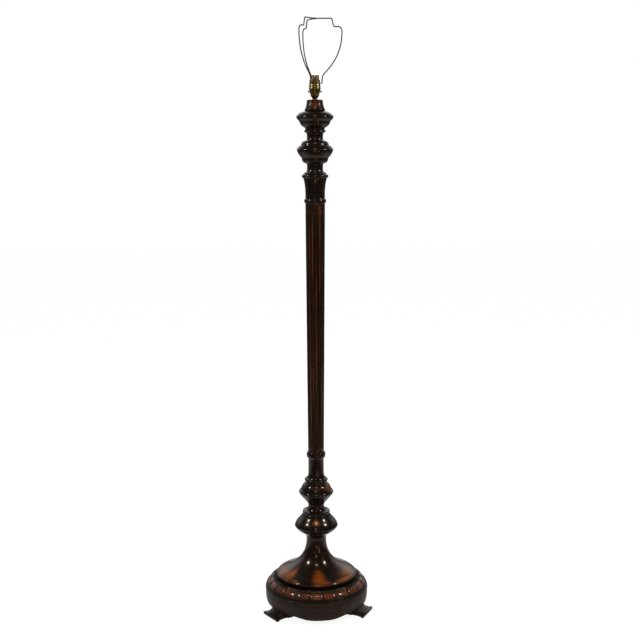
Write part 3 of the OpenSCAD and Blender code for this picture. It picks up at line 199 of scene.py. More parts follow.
def varnished_wood(name, along, deep, brown, amber, amber_from, gloss=(0.2, 0.4), marks=None, varnish=0.6):
    """Stained wood under old gloss varnish. The stain is thin in patches, where the amber wood shows.
    The grain runs along one axis. marks names an attribute: below zero it darkens and dulls the wood, as
    thick stain and as painted shade; above it thins the stain.
    varnish is how full the gloss coat is; it is missing where dirt fills the hollows and where the marks
    paint shade."""
    m = bpy.data.materials.new(name)
    m.use_nodes = True
    t = m.node_tree
    t.nodes.clear()
    place = node(t, "TexCoord").outputs["Object"]
    stretch = {"x": (0.07, 1, 1), "y": (1, 0.07, 1), "z": (1, 1, 0.05)}[along]
    run = node(t, "Mapping", Vector=place, Scale=stretch).outputs[0]
    figure = node(t, "TexNoise", Vector=run, Scale=95.0, Detail=7.0, Roughness=0.62,
                  Distortion=0.35).outputs[0]
    pores = node(t, "TexNoise", Vector=run, Scale=620.0, Detail=3.0, Roughness=0.6).outputs[0]
    blotch = node(t, "TexNoise", Vector=node(t, "Mapping", Vector=place, Scale=(1, 1, 0.55)).outputs[0],
                  Scale=21.0, Detail=4.0, Roughness=0.55, Distortion=0.6).outputs[0]
    stain = node(t, "MapRange", {"interpolation_type": "SMOOTHSTEP"}, Value=figure, From_Min=0.36,
                 From_Max=0.7).outputs[0]
    base = node(t, "Mix", {"data_type": "RGBA"}, Factor=stain, i6=(*deep, 1), i7=(*brown, 1)).outputs[2]
    if marks:
        mark = node(t, "Attribute", {"attribute_name": marks}).outputs["Fac"]
        even = node(t, "MapRange", Value=blotch, From_Min=0.25, From_Max=0.75, To_Min=0.44,
                    To_Max=0.56).outputs[0]
        blotch = node(t, "Math", {"operation": "ADD"}, i0=even, i1=mark).outputs[0]
    thin = node(t, "MapRange", {"interpolation_type": "SMOOTHSTEP"}, Value=blotch, From_Min=amber_from,
                From_Max=amber_from + 0.38).outputs[0]
    ruddy = node(t, "TexNoise", Vector=place, Scale=14.0, Detail=2.0).outputs[0]
    ruddy = node(t, "MapRange", Value=ruddy, From_Min=0.42, From_Max=0.6).outputs[0]
    amber = node(t, "Mix", {"data_type": "RGBA"}, Factor=ruddy, i6=(*amber, 1),
                 i7=(amber[0] * 0.9, amber[1] * 0.66, amber[2] * 0.8, 1)).outputs[2]
    streaks = node(t, "MapRange", Value=figure, From_Min=0.3, From_Max=0.65, To_Min=0.5,
                   To_Max=1.0).outputs[0]
    glow = node(t, "Math", {"operation": "MULTIPLY"}, i0=thin, i1=streaks).outputs[0]
    base = node(t, "Mix", {"data_type": "RGBA"}, Factor=glow, i6=base, i7=amber).outputs[2]
    # Edges are rubbed a little lighter, and dirt and old wax sit in the hollows
    point = node(t, "NewGeometry").outputs["Pointiness"]
    rubbed = node(t, "MapRange", Value=point, From_Min=0.55, From_Max=0.7, To_Min=0.0, To_Max=0.3).outputs[0]
    base = node(t, "Mix", {"data_type": "RGBA"}, Factor=rubbed, i6=base,
                i7=(brown[0] * 3, brown[1] * 2.6, brown[2] * 2.3, 1)).outputs[2]
    dirt = node(t, "MapRange", Value=point, From_Min=0.36, From_Max=0.48, To_Min=0.75, To_Max=0.0).outputs[0]
    # Marks below zero darken further: thick stain, and painted shade in hollows, grooves and under the dome's
    # lip.
    if marks:
        thick_stain_and_shade = node(t, "MapRange", Value=mark, From_Min=-0.1, From_Max=-1.0).outputs[0]
        dirt = node(t, "Math", {"operation": "MAXIMUM"}, i0=dirt, i1=thick_stain_and_shade).outputs[0]
    base = node(t, "Mix", {"data_type": "RGBA"}, Factor=dirt, i6=base,
                i7=(deep[0] * 0.5, deep[1] * 0.5, deep[2] * 0.5, 1)).outputs[2]
    haze = node(t, "TexNoise", Vector=place, Scale=38.0, Detail=4.0, Roughness=0.7).outputs[0]
    rough = node(t, "MapRange", Value=haze, From_Min=0.35, From_Max=0.7, To_Min=gloss[0],
                 To_Max=gloss[1]).outputs[0]
    dull = node(t, "Math", {"operation": "MULTIPLY"}, i0=dirt, i1=0.25).outputs[0]
    rough = node(t, "Math", {"operation": "ADD"}, i0=rough, i1=dull).outputs[0]
    full = node(t, "MapRange", Value=dirt, From_Min=0.1, From_Max=0.9, To_Min=varnish, To_Max=0.0).outputs[0]
    # Open pores print through the varnish, which also lies a little wavy
    wavy = node(t, "TexNoise", Vector=place, Scale=55.0, Detail=2.0).outputs[0]
    bump = node(t, "Bump", Strength=0.1, Distance=0.0006, Height=wavy)
    bump = node(t, "Bump", Strength=0.1, Distance=0.00025, Height=pores, Normal=bump.outputs[0])
    skin = node(t, "BsdfPrincipled", Base_Color=base, Roughness=rough, Specular_IOR_Level=0.3,
                Specular_Tint=(1.0, 0.7, 0.45, 1),
                Coat_Weight=full, Coat_Roughness=0.05, Coat_IOR=1.5, Normal=bump.outputs[0])
    node(t, "OutputMaterial", Surface=skin.outputs[0])
    return m


def mark_stain_and_shade(ob, values):
    """Stores, point by point, where hand and polish have thinned the stain, and where it is darkened as thick
    stain and as painted shade.
    """
    ob.data.attributes.new("stain_and_shade_marks", "FLOAT", "POINT").data.foreach_set("value", values)


def rub_through(ob, spots):
    """Thins the stain in soft patches: turn, height and their spread, then how far it is rubbed."""
    values = []
    for v in ob.data.vertices:
        turn, mark = math.degrees(math.atan2(v.co.y, v.co.x)), -0.12
        for at, height, wide, tall, rub in spots:
            off = (turn - at + 180) % 360 - 180
            mark = max(mark,
                       rub * math.exp(-(off / wide) ** 2 - ((v.co.z * 1000 - height) / tall) ** 2) - 0.12)
        values.append(mark)
    mark_stain_and_shade(ob, values)


foot_wood = varnished_wood("foot_wood", "x", (0.006, 0.0045, 0.004), (0.02, 0.012, 0.008),
                           (0.05, 0.03, 0.013), 0.52, (0.28, 0.5), varnish=0.3)


def loft(sections, closed=False):
    """Skins a row of equal rings of points, with a cap at each end unless the row is closed."""
    n = len(sections[0])
    points = [p for ring in sections for p in ring]
    faces = []
    rows = len(sections) if closed else len(sections) - 1
    for i in range(rows):
        a, b = i * n, (i + 1) % len(sections) * n
        faces += [(a + k, a + (k + 1) % n, b + (k + 1) % n, b + k) for k in range(n)]
    if not closed:
        faces += [tuple(range(n))[::-1], tuple(range(len(points) - n, len(points)))]
    return points, faces


for foot_name, turn in foot_turns.items():
    stations = [(root_r + i * 3.0, neck_w / 2, foot_h) for i in range(9)]
    sweep_r = neck_r - wing_t / 2
    for i in range(25):
        x = sweep_r + (toe_r - 1.0 - sweep_r) * i / 24
        swing = min(1.0, (x - sweep_r) / (toe_r - toe_t - sweep_r))
        half = neck_w / 2 + (toe_w - neck_w) / 2 * (1 - math.sqrt(1 - swing * swing))
        sweep = min(1.0, max(0.0, (toe_r - 1.0 - x) / (toe_r - 1.0 - neck_r)))
        top = toe_t + (foot_h - toe_t) * (1 - math.sqrt(1 - sweep * sweep))
        stations.append((x, half, top))
    stations.append((toe_r, toe_w / 2 - 1.0, toe_t - 1.0))
    body_points, body_faces = loft([[(x, -w, 0), (x, -w, h), (x, -w / 3, h), (x, w / 3, h), (x, w, h),
                                     (x, w, 0)]
                                    for x, w, h in stations])
    foot = new_piece(foot_name + "_block", body_points, body_faces, foot_wood)
    wings = []
    for side in (-1, 1):
        rings = []
        for i in range(15):
            t = math.pi / 2 * i / 14
            low = (foot_h - 3) + (toe_t / 2 - foot_h + 3) * math.sin(t)
            y = wing_half + (neck_w / 2 - 3 - wing_half) * (1 - math.cos(t))
            inner, outer = math.sqrt((neck_r - wing_t) ** 2 - y * y), math.sqrt((neck_r - 0.3) ** 2 - y * y)
            rings.append([(inner, side * y, low), (outer, side * y, low), (outer, side * y, foot_h),
                          (inner, side * y, foot_h)])
        points, faces = loft(rings)
        wings.append(new_piece(foot_name + "_wing", points, faces, foot_wood))
    for wing in wings:
        joined = foot.modifiers.new("join", "BOOLEAN")
        joined.operation, joined.solver, joined.object = "UNION", "EXACT", wing
        settle(foot)
        bpy.data.objects.remove(wing)
    softened = foot.modifiers.new("worn_edges", "BEVEL")
    softened.width, softened.segments = 0.0009, 2
    softened.limit_method, softened.angle_limit = "ANGLE", math.radians(38)
    settle(foot, 40)
    foot.data.transform(Matrix.Rotation(math.radians(turn), 4, "Z"))
    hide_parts(foot_name)

# ---- Foot screws, ballast and its screws ----
# Plain steel wood screws hold the feet. A cast-iron ring, rough from the mould and blacked, is
# screwed up under the deck so that the tall column does not tip.
def worn_metal(name, colour, dark, rough, scale=60.0, bump=0.1, metallic=1.0, cast=False):
    """Bare or blacked metal with tarnish in patches and fine pitting."""
    m = bpy.data.materials.new(name)
    m.use_nodes = True
    t = m.node_tree
    t.nodes.clear()
    place = node(t, "TexCoord").outputs["Object"]
    cloud = node(t, "TexNoise", Vector=place, Scale=scale, Detail=6.0, Roughness=0.65,
                 Distortion=0.4).outputs[0]
    fine = node(t, "TexNoise", Vector=place, Scale=scale * (9 if cast else 22), Detail=4.0,
                Roughness=0.6).outputs[0]
    tarnish = node(t, "MapRange", {"interpolation_type": "SMOOTHSTEP"}, Value=cloud, From_Min=0.42,
                   From_Max=0.68).outputs[0]
    point = node(t, "NewGeometry").outputs["Pointiness"]
    dirt = node(t, "MapRange", Value=point, From_Min=0.34, From_Max=0.46, To_Min=0.8, To_Max=0.0).outputs[0]
    both = node(t, "Math", {"operation": "MAXIMUM"}, i0=tarnish, i1=dirt).outputs[0]
    base = node(t, "Mix", {"data_type": "RGBA"}, Factor=both, i6=(*colour, 1), i7=(*dark, 1)).outputs[2]
    r = node(t, "MapRange", Value=both, To_Min=rough[0], To_Max=rough[1]).outputs[0]
    b = node(t, "Bump", Strength=bump, Distance=0.0006 if cast else 0.00008, Height=fine)
    skin = node(t, "BsdfPrincipled", Base_Color=base, Roughness=r, Metallic=metallic, Normal=b.outputs[0])
    node(t, "OutputMaterial", Surface=skin.outputs[0])
    return m


steel = worn_metal("screw_steel", (0.42, 0.41, 0.4), (0.16, 0.12, 0.09), (0.3, 0.6))
cast_iron = worn_metal("blacked_cast_iron", (0.05, 0.05, 0.052), (0.09, 0.05, 0.032), (0.55, 0.85), 30.0,
                       0.6, 0.5, True)


def finish_node(name, material):
    """Gives a piece that keeps its own shape the finish of the real one."""
    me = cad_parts[name].data
    me.materials.clear()
    me.materials.append(material)


for part in ("foot_screws", "ballast_screws"):
    finish_node(part, steel)
finish_node("ballast", cast_iron)

# ---- Plinth ----
# The round board is turned with a bead on its upper edge. A ring glued under it carries the
# hollow sweep of the side, and is sawn into shallow arches, flat over each foot. Both are duller
# than the pieces above.
plinth_r, deck_z, bead_h, apron_in, apron_z, pad_z = 162.3, 70.0, 10.0, 14.3, 10.0, 22.0
rim_in_r, deck_under, pad_half, arch_half, bore_r = 128.0, 45.0, 63.0, 122.0, 5.6
plinth_wood = varnished_wood("plinth_wood", "x", (0.009, 0.006, 0.006), (0.018, 0.011, 0.01),
                             (0.04, 0.017, 0.011), 0.58, (0.34, 0.55), varnish=0.12)


def apron_edge(turn, r):
    """Height of the sawn lower edge at a turn and radius."""
    for foot_turn in foot_turns.values():
        off = math.radians(turn - foot_turn)
        if math.cos(off) > 0:
            y = abs(r * math.sin(off))
            if y < arch_half:
                k = max(0.0, (y - pad_half) / (arch_half - pad_half))
                return pad_z - (pad_z - apron_z) * (1 - math.cos(math.pi * k)) / 2
    return apron_z


def bow(c, half, t0, t1, n):
    """Points on an arc about c with half axes half, from angle t0 to t1."""
    return [(c[0] + half[0] * math.cos(math.radians(t0 + (t1 - t0) * i / n)),
             c[1] + half[1] * math.sin(math.radians(t0 + (t1 - t0) * i / n))) for i in range(n + 1)]


def bead(r0, r1, z0, z1, n=12):
    """Half round that stands out from r0 to r1."""
    return bow((r0, (z0 + z1) / 2), (r1 - r0, (z1 - z0) / 2), -90, 90, n)


side_top, board_rings, apron_rings = deck_z - 2 * bead_h, [], []
seam_t = math.acos(1 - (deck_under - apron_z) / (side_top - apron_z))


def side_sweep(t0, t1, n):
    """Points on the side's hollow sweep between two angles."""
    return [(plinth_r - apron_in * (1 - math.sin(t0 + (t1 - t0) * k / n)),
             apron_z + (side_top - apron_z) * (1 - math.cos(t0 + (t1 - t0) * k / n))) for k in range(n + 1)]


board_section = ([(bore_r, deck_under)] + side_sweep(seam_t, math.pi / 2, 3)
                 + [(plinth_r, deck_z - bead_h - 3), (plinth_r - 0.2, deck_z - bead_h - 1.2),
                    (plinth_r - 1.3, deck_z - bead_h - 0.5),
                    (plinth_r - 1.3, deck_z - bead_h + 0.1)]
                 + bead(plinth_r - 1.0, plinth_r + 0.7, deck_z - bead_h + 0.3, deck_z - 0.6)
                 + [(plinth_r - 1.5, deck_z), (140, deck_z), (60, deck_z), (bore_r, deck_z)])
for turn in range(360):
    low, in_low = apron_edge(turn, plinth_r - apron_in + 3), apron_edge(turn, rim_in_r)
    side = side_sweep(math.acos(max(-1.0, 1 - (low + 0.8 - apron_z) / (side_top - apron_z))), seam_t, 14)
    apron_section = ([(rim_in_r, deck_under), (rim_in_r, (deck_under + in_low) / 2), (rim_in_r, in_low + 1),
                      (rim_in_r + 1, in_low),
                      (side[0][0] - 1.0, low)] + side)
    c, s = math.cos(math.radians(turn)), math.sin(math.radians(turn))
    board_rings.append([(r * c, r * s, z) for r, z in board_section])
    apron_rings.append([(r * c, r * s, z) for r, z in apron_section])


def bore_out(ob, sections, sharp=32):
    """Cuts a hole whose shape is a row of rings of points out of a piece."""
    points, faces = loft(sections)
    cutter = new_piece("cutter", points, faces, ob.data.materials[0])
    cut = ob.modifiers.new("bore", "BOOLEAN")
    cut.operation, cut.solver, cut.object = "DIFFERENCE", "EXACT", cutter
    settle(ob, sharp)
    bpy.data.objects.remove(cutter)


# The cable's way out at the back: a bore for the bush, and a flat sunk round it for the flange
outlet_turn, outlet_z, outlet_bore_r = math.radians(150), 33.0, 6.65
flange_r, flange_seat = 9.15, plinth_r - 3
outlet_rings = []
for out, r in ((rim_in_r - 4, outlet_bore_r), (flange_seat, outlet_bore_r), (flange_seat, flange_r),
               (plinth_r + 6, flange_r)):
    ring = [(r * math.cos(2 * math.pi * k / 48), r * math.sin(2 * math.pi * k / 48)) for k in range(48)]
    outlet_rings.append([(out * math.cos(outlet_turn) - y * math.sin(outlet_turn),
                          out * math.sin(outlet_turn) + y * math.cos(outlet_turn),
                          outlet_z + z) for y, z in ring])
for board_name, board, cad_name in (("plinth_board", board_rings, "plinth"),
                                    ("apron_ring", apron_rings, "apron")):
    plinth_points, plinth_faces = loft(board, closed=True)
    plinth = new_piece(board_name, plinth_points, plinth_faces, plinth_wood)
    if cad_name == "apron":
        bore_out(plinth, outlet_rings)
    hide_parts(cad_name)

# ---- Cable outlet bush ----
# A small turned brass bush with a flange lines the hole through which the cable leaves at the back.
brass = worn_metal("old_brass", (0.31, 0.23, 0.08), (0.19, 0.135, 0.045), (0.3, 0.48), 30.0, 0.01)
finish_node("outlet_bush", brass)

# ---- Gadrooned ring ----
# The ring is turned, then carved all round into flat-faced cushions with rounded ends. A small dart is left
# at the head of each groove, and the faces are rubbed amber. The grooves, the band above the cushions and
# the edges below are darkened, partly as stain left in the carving, partly as painted shade.
gadroons, gadroon_turn, seat_z = 22, 264.5, 98.0
foot_rz, head_rz, belly, ring_in_r = (160.0, 76.0), (134.0, 102.0), 2.2, 100.0
carved_wood = varnished_wood("carved_wood", "x", (0.008, 0.005, 0.004), (0.035, 0.013, 0.007),
                             (0.19, 0.055, 0.011), 0.45,
                             (0.16, 0.3), "stain_and_shade_marks")
chord = math.dist(foot_rz, head_rz)
face_r = ((chord / 2) ** 2 + belly ** 2) / (2 * belly)
out_r, out_z = (head_rz[1] - foot_rz[1]) / chord, (foot_rz[0] - head_rz[0]) / chord
centre = ((foot_rz[0] + head_rz[0]) / 2 - (face_r - belly) * out_r,
          (foot_rz[1] + head_rz[1]) / 2 - (face_r - belly) * out_z)
from_t = math.atan2(foot_rz[1] - centre[1], foot_rz[0] - centre[0])
to_t = math.atan2(head_rz[1] - centre[1], head_rz[0] - centre[0])


def cushion_depth(across, up):
    """How deep the carving lies below the turned face. across and up run from -1 to 1 on one cushion."""
    a, u = min(1.0, abs(across) / 0.92), min(1.0, abs(up + 0.06) / 0.58)
    face = max(0.0, 1 - a ** 8) ** 0.5 * max(0.0, 1 - u ** 3.2) ** 0.6
    bed = 3.6 - 1.6 * abs(up) ** 3 if up > -0.62 else 1.7 * max(0.0, 1 - ((up + 0.86) / 0.16) ** 2) ** 0.5
    if up <= -0.62:
        return 1.7 - bed if up > -1.0 else 0.6
    dart = math.exp(-(((abs(across) - 1) / 0.22) ** 2)) * max(0.0, min(1.0, (up - 0.3) / 0.3)) * 1.1
    return max(0.0, bed * (1 - face) - dart)


steps = [-1, -0.965, -0.93, -0.9, -0.875, -0.85, -0.8, -0.7, -0.5, -0.25, 0, 0.25, 0.5, 0.7, 0.8, 0.85,
         0.875, 0.9, 0.93, 0.965]
ups = [-1, -0.98, -0.94, -0.9, -0.86, -0.8, -0.74, -0.7, -0.66, -0.63, -0.6, -0.54, -0.46, -0.36, -0.22,
       -0.06, 0.1, 0.24, 0.34, 0.42, 0.48,
       0.53, 0.6, 0.7, 0.8, 0.9, 1]
rings, gadroon_stain_and_shade_marks = [], []
for g in range(gadroons):
    for across in steps:
        turn = math.radians(gadroon_turn + (g + across / 2) * 360 / gadroons)
        section = [(ring_in_r, 70), (160.4, 70), (161, 70.6), (161, 73.2), (160.6, 73.9), (159.6, 74.4),
                   (158.2, 74.6)]
        # The foot band below the cushions gets a dark mark: painted shade.
        cut = [-0.8] * 7
        for up in ups:
            t = from_t + (to_t - from_t) * (up + 1) / 2
            depth = cushion_depth(across, up)
            section.append((centre[0] + (face_r - depth) * math.cos(t),
                            centre[1] + (face_r - depth) * math.sin(t)))
            # Cushion faces get a rubbed amber mark. The grooves, the darts and the band above them get a dark
            # one, partly stain left in the carving, partly painted shade.
            inside = abs(across) < 0.93 and -0.62 < up < 0.5
            cut.append(0.16 - 0.06 * depth ** 2 if inside else -0.85)
        # The top edge, in the hollow under the dome's lip, is darkened: painted shade.
        section += [(131.4, 99.4), (130.2, 98.4), (129.2, seat_z), (ring_in_r, seat_z)]
        cut += [-1.0] * 4
        rings.append([(r * math.cos(turn), r * math.sin(turn), z) for r, z in section])
        gadroon_stain_and_shade_marks += cut
ring_points, ring_faces = loft(rings, closed=True)
gadroon_ring = new_piece("gadrooned_ring", ring_points, ring_faces, carved_wood, sharp=50)
mark_stain_and_shade(gadroon_ring, gadroon_stain_and_shade_marks)
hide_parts("gadroon_ring")

# ---- Dome and trumpet ----
# One broad turning: a hollow under a rolled lip, a low swell that is nearly a straight cone, and a
# trumpet that rises out of it. The board's grain runs across, and the varnish glows amber on the swell.
tube_bore, spigot_r, spigot_l, slack = 5.6, 11.0, 16.0, 0.2
lip_low, dome_h, dome_sides = 11.3, 132.0, 192
dome_wood = varnished_wood("dome_wood", "x", (0.0045, 0.003, 0.0026), (0.018, 0.007, 0.0035),
                           (0.29, 0.085, 0.005), 0.44,
                           (0.16, 0.3), "stain_and_shade_marks")
# Where the stain on the swell is thin: turn, radius, spread round and outwards, how far it is rubbed
thin_spots = [(214, 100, 8, 30, 0.46), (196, 106, 18, 28, 0.3), (228, 119, 14, 7, 0.24),
              (268, 100, 12, 30, 0.42), (274, 118, 15, 8, 0.36),
              (318, 119, 34, 7, 0.36), (336, 104, 26, 26, 0.28), (25, 102, 16, 26, 0.4),
              (62, 96, 10, 30, 0.44),
              (98, 108, 18, 24, 0.36), (140, 98, 12, 32, 0.44), (168, 112, 14, 16, 0.3)]


def curve(p, a, b, q, n=18):
    """Free curve from p to q that leaves p towards a and meets q from b."""
    made = []
    for i in range(n + 1):
        t, u = i / n, 1 - i / n
        made.append(tuple(u ** 3 * p[k] + 3 * u * u * t * a[k] + 3 * u * t * t * b[k] + t ** 3 * q[k]
                          for k in (0, 1)))
    return made


def eased(line, r=0.7):
    """Rounds the hard corners of an outline with a short two-step ease."""
    made = [line[0]]
    for p, q, s in zip(line[:-2], line[1:-1], line[2:]):
        d0, d1 = math.dist(p, q), math.dist(q, s)
        if d0 < 1e-6 or d1 < 1e-6:
            continue
        bend = ((q[0] - p[0]) * (s[0] - q[0]) + (q[1] - p[1]) * (s[1] - q[1])) / (d0 * d1)
        if bend > 0.87:
            made.append(q)
            continue
        k0, k1 = min(r, d0 * 0.45) / d0, min(r, d1 * 0.45) / d1
        a = (q[0] + (p[0] - q[0]) * k0, q[1] + (p[1] - q[1]) * k0)
        b = (q[0] + (s[0] - q[0]) * k1, q[1] + (s[1] - q[1]) * k1)
        made += [a, tuple(0.25 * a[k] + 0.5 * q[k] + 0.25 * b[k] for k in (0, 1)), b]
    return made + [line[-1]]


def turned(name, outline, foot_z, height, material, sides=160, spigot=True, socket=True, shape=None,
           replace=None, bore=tube_bore):
    """Turns a bored piece: outline is (radius, height) up its outside. It has a spigot below and a
    socket on top where asked. shape(turn, radius, height) may cut into the turned face."""
    low, high = [(bore, 0)], [(bore, height)]
    if spigot:
        low = [(bore, -spigot_l), (spigot_r - 0.6, -spigot_l), (spigot_r, 0.6 - spigot_l), (spigot_r, 0)]
    if socket:
        floor_of_socket = height - spigot_l - slack
        high = [(spigot_r + slack, height), (spigot_r + slack, floor_of_socket), (bore, floor_of_socket)]
    line = eased(outline)
    rings = []
    for i in range(sides):
        turn = 2 * math.pi * i / sides
        c, s = math.cos(turn), math.sin(turn)
        skin = [(shape(turn, r, z), z) for r, z in line] if shape else line
        rings.append([(r * c, r * s, z + foot_z) for r, z in low + skin + high])
    points, faces = loft(rings, closed=True)
    ob = new_piece(name, points, faces, material)
    if replace:
        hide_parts(replace)
    return ob


swell = (94.0, 32.0)
dome_line = ([(99.6, -28.0), (99.6, 0)]
             + curve((122, 0), (120.6, 5), (120.8, 8.6), (124.4, 11.2), 10)
             + bead(124.6, 126, 11.2, 15.5, 8)
             + curve((124.0, 15.6), (122.5, 19.5), (108.4, 25.3), swell, 14)
             + curve(swell, (58, 48.8), (31.2, 76.6), (31.2, 126), 40)[1:]
             + [(31.8, dome_h - 0.6), (31.2, dome_h)])
low_dome = dome_line[:1] + [(99.6, -0.01)] + dome_line[2:]
rings = []
for i in range(dome_sides):
    c, s = math.cos(2 * math.pi * i / dome_sides), math.sin(2 * math.pi * i / dome_sides)
    section = ([(tube_bore, -28.0)] + eased(low_dome, 0.8)
               + [(spigot_r + slack, dome_h), (spigot_r + slack, dome_h - spigot_l - slack),
                  (tube_bore, dome_h - spigot_l - slack)])
    rings.append([(r * c, r * s, z + seat_z) for r, z in section])
dome_points, dome_faces = loft(rings, closed=True)
dome = new_piece("dome_and_trumpet", dome_points, dome_faces, dome_wood)
# Each point's mark: the rubbed thin spots on the swell, and painted shade that darkens the hollow under the
# lip and takes its gloss.
stain = []
for x, y, z in dome_points:
    r, turn, mark = math.hypot(x, y), math.degrees(math.atan2(y, x)), -0.12
    for at, out, wide, long, rub in thin_spots:
        off = (turn - at + 180) % 360 - 180
        mark = max(mark, rub * math.exp(-(off / wide) ** 2 - ((r - out) / long) ** 2) - 0.12)
    stain.append(mark if z > seat_z + lip_low else -0.9)
mark_stain_and_shade(dome, stain)
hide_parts("base_dome")

# ---- Lower knop and lower baluster ----
# Two bulbs with sharp rims, turned from the same hardwood as the shaft and spigoted into each other.
# Their shoulders have caught the hand for years, so the stain is thinner there.
knop_wood = varnished_wood("knop_wood", "z", (0.0045, 0.0035, 0.003), (0.011, 0.006, 0.0045),
                           (0.2, 0.065, 0.009), 0.48, (0.18, 0.32), "stain_and_shade_marks")
knop_z, knop_h, baluster_h = seat_z + dome_h, 106.0, 76.0
baluster_z = knop_z + knop_h
knop_line = (curve((31.8, 0), (33.0, 14), (62.2, 20), (68.6, 38.6), 22)
             + [(68.6, 39.4)] + curve((68.0, 40.2), (63.2, 57), (50, 61.6), (42.6, 78), 22)
             + [(41.2, 78.4)] + bead(41.7, 43.2, 78.8, 86.4, 10) + [(41.0, 87.0), (36.7, 87.5)]
             + [(25.2 + 11.5 * (1 - math.sin(math.radians(t))),
                 87.5 + 14.5 * (1 - math.cos(math.radians(t)))) for t in range(10, 91, 10)]
             + [(25.2, knop_h)])
lower_knop = turned("lower_knop_turning", knop_line, knop_z, knop_h, knop_wood, replace="lower_knop")
rub_through(lower_knop, [(264, 291, 15, 10, 0.44), (345, 292, 24, 12, 0.2), (150, 286, 30, 12, 0.3),
                         (60, 288, 20, 12, 0.36)])
baluster_line = (curve((25.2, 0), (26, 8.4), (50, 29.4), (54.5, 41), 20)
                 + [(54.5, 42)]
                 + [(54.5 - 5.9 * (1 - math.cos(math.radians(t))), 42 + 6.5 * math.sin(math.radians(t)))
                    for t in range(12, 91, 13)]
                 + [(47.4, 49.2), (48.4, 50.0)]
                 + curve((48.6, 50.6), (46.1, 57.5), (41.8, 67.6), (33.8, 72), 14) + [(33.8, baluster_h)])
lower_baluster = turned("lower_baluster_turning", baluster_line, baluster_z, baluster_h, knop_wood,
                        replace="lower_baluster")
rub_through(lower_baluster, [(320, 396, 24, 12, 0.44), (266, 398, 26, 6, 0.26), (110, 394, 26, 9, 0.36),
                             (20, 390, 14, 8, 0.22)])

# ---- Lower neck ----
# A short plain column with a rolled flange at its foot and a bead under the shaft.
neck_z, neck_h = baluster_z + baluster_h, 101.0
neck_line = ([(33.8, 0), (33.8, 0.8)] + bead(32, 36.5, 1, 10, 12)
             + [(24.6 + 7.4 * (1 - math.sin(math.radians(t))),
                 10.2 + 19.8 * (1 - math.cos(math.radians(t)))) for t in range(8, 91, 9)]
             + [(24.3, 45), (24.3, 75), (24.8, 76.4), (25.6, 77)] + bead(25.7, 29.7, 77.4, 96.6, 14)
             + [(25.2, 97.2), (24.8, 98), (24.8, neck_h)])
lower_neck = turned("lower_neck_turning", neck_line, neck_z, neck_h, knop_wood, replace="lower_neck")
rub_through(lower_neck, [(40, 460, 30, 20, 0.16)])

# ---- Fluted shaft ----
# One long turning, slightly wider at its head, with sixteen gouged flutes that end in round scoops.
# The stain has worn to red-brown on the fillets between them, whose lightening also paints a sheen, and
# painted shade darkens the flutes.
shaft_z, shaft_h, shaft_low_r, shaft_high_r = neck_z + neck_h, 771.0, 24.8, 29.8
flutes, gouge_r, flute_d, plain_low, plain_high = 16, 4.1, 2.4, 7, 30
shaft_wood = varnished_wood("shaft_wood", "z", (0.009, 0.0035, 0.002), (0.026, 0.011, 0.006),
                            (0.13, 0.036, 0.012), 0.46, (0.22, 0.38), "stain_and_shade_marks", 0.5)


def fluted(turn, r, z):
    """Radius of the shaft's face once the flutes are cut."""
    pitch = 2 * math.pi / flutes
    off = turn % pitch - pitch / 2
    y = r * math.sin(off)
    end_low, end_high = plain_low + gouge_r, shaft_h - plain_high - gouge_r
    beyond = max(0.0, end_low - z, z - end_high)
    left = gouge_r ** 2 - y * y - beyond ** 2
    return r - max(0.0, math.sqrt(left) - gouge_r + flute_d) if left > 0 else r


# Heights of the shaft's rings, close together where a flute runs out
levels = ([0, 3, 6] + [7 + k * 0.5 for k in range(11)] + [14 + k * 20 for k in range(36)]
          + [735 + k * 0.5 for k in range(14)] + [743, 746, 755, 765, 771])
shaft_line = [(shaft_low_r + (shaft_high_r - shaft_low_r) * z / shaft_h, z) for z in levels if z <= shaft_h]
fluted_shaft = turned("fluted_shaft_turning", shaft_line, shaft_z, shaft_h, shaft_wood, sides=flutes * 18,
                      shape=fluted, replace="fluted_shaft")
# Hands and dusting have rubbed each fillet over lengths of its own; the lighter stain there also paints the
# fillets' sheen.
chance, fillet_wear_and_sheen = random.Random(7), []
for k in range(flutes):
    fillet_wear_and_sheen.append([(chance.uniform(560, 1240), chance.uniform(60, 170), chance.uniform(0.12, 0.34))
                           for _ in range(3)])
fillet_wear_and_sheen[11].append((1150, 110, 0.46))
fillet_wear_and_sheen[12].append((1010, 260, 0.2))
fillet_wear_and_sheen[13].append((1190, 120, 0.34))
marks = []
for v in fluted_shaft.data.vertices:
    turn, height, r = math.atan2(v.co.y, v.co.x), v.co.z * 1000, math.hypot(v.co.x, v.co.y) * 1000
    cut_in = shaft_low_r + (shaft_high_r - shaft_low_r) * (height - shaft_z) / shaft_h - r
    fillet = fillet_wear_and_sheen[round(turn / (2 * math.pi) * flutes) % flutes]
    rub = max(deg * math.exp(-((height - at) / long) ** 2) for at, long, deg in fillet)
    # Fillets take their rubbed mark, worn stain and painted sheen together. Inside the flutes the mark falls
    # with depth: painted shade that darkens and dulls them.
    marks.append(rub - 0.1 if cut_in < 0.25 else -0.12 - 0.3 * min(1.0, cut_in / 1.5))
mark_stain_and_shade(fluted_shaft, marks)

# ---- Collar ----
# The shaft's head runs into a bead, a long hollow flare and a rolled lip, all one turning.
collar_z, collar_h = shaft_z + shaft_h, 94.0
collar_line = ([(29.8, 0), (30.4, 2.3)] + bead(30.3, 33.5, 2.6, 15.2, 12) + [(29.9, 15.9), (29.7, 18)]
               + curve((29.7, 18), (29.3, 48), (32.0, 66), (36.4, 78), 18)[1:]
               + bead(36.4, 40.4, 78.3, 88.4, 12)
               + [(35.4, 88.9), (32.4, 93.4), (32.4, collar_h)])
collar = turned("collar_turning", collar_line, collar_z, collar_h, knop_wood, replace="collar")
rub_through(collar, [(318, 1320, 16, 40, 0.2), (120, 1330, 30, 26, 0.22)])

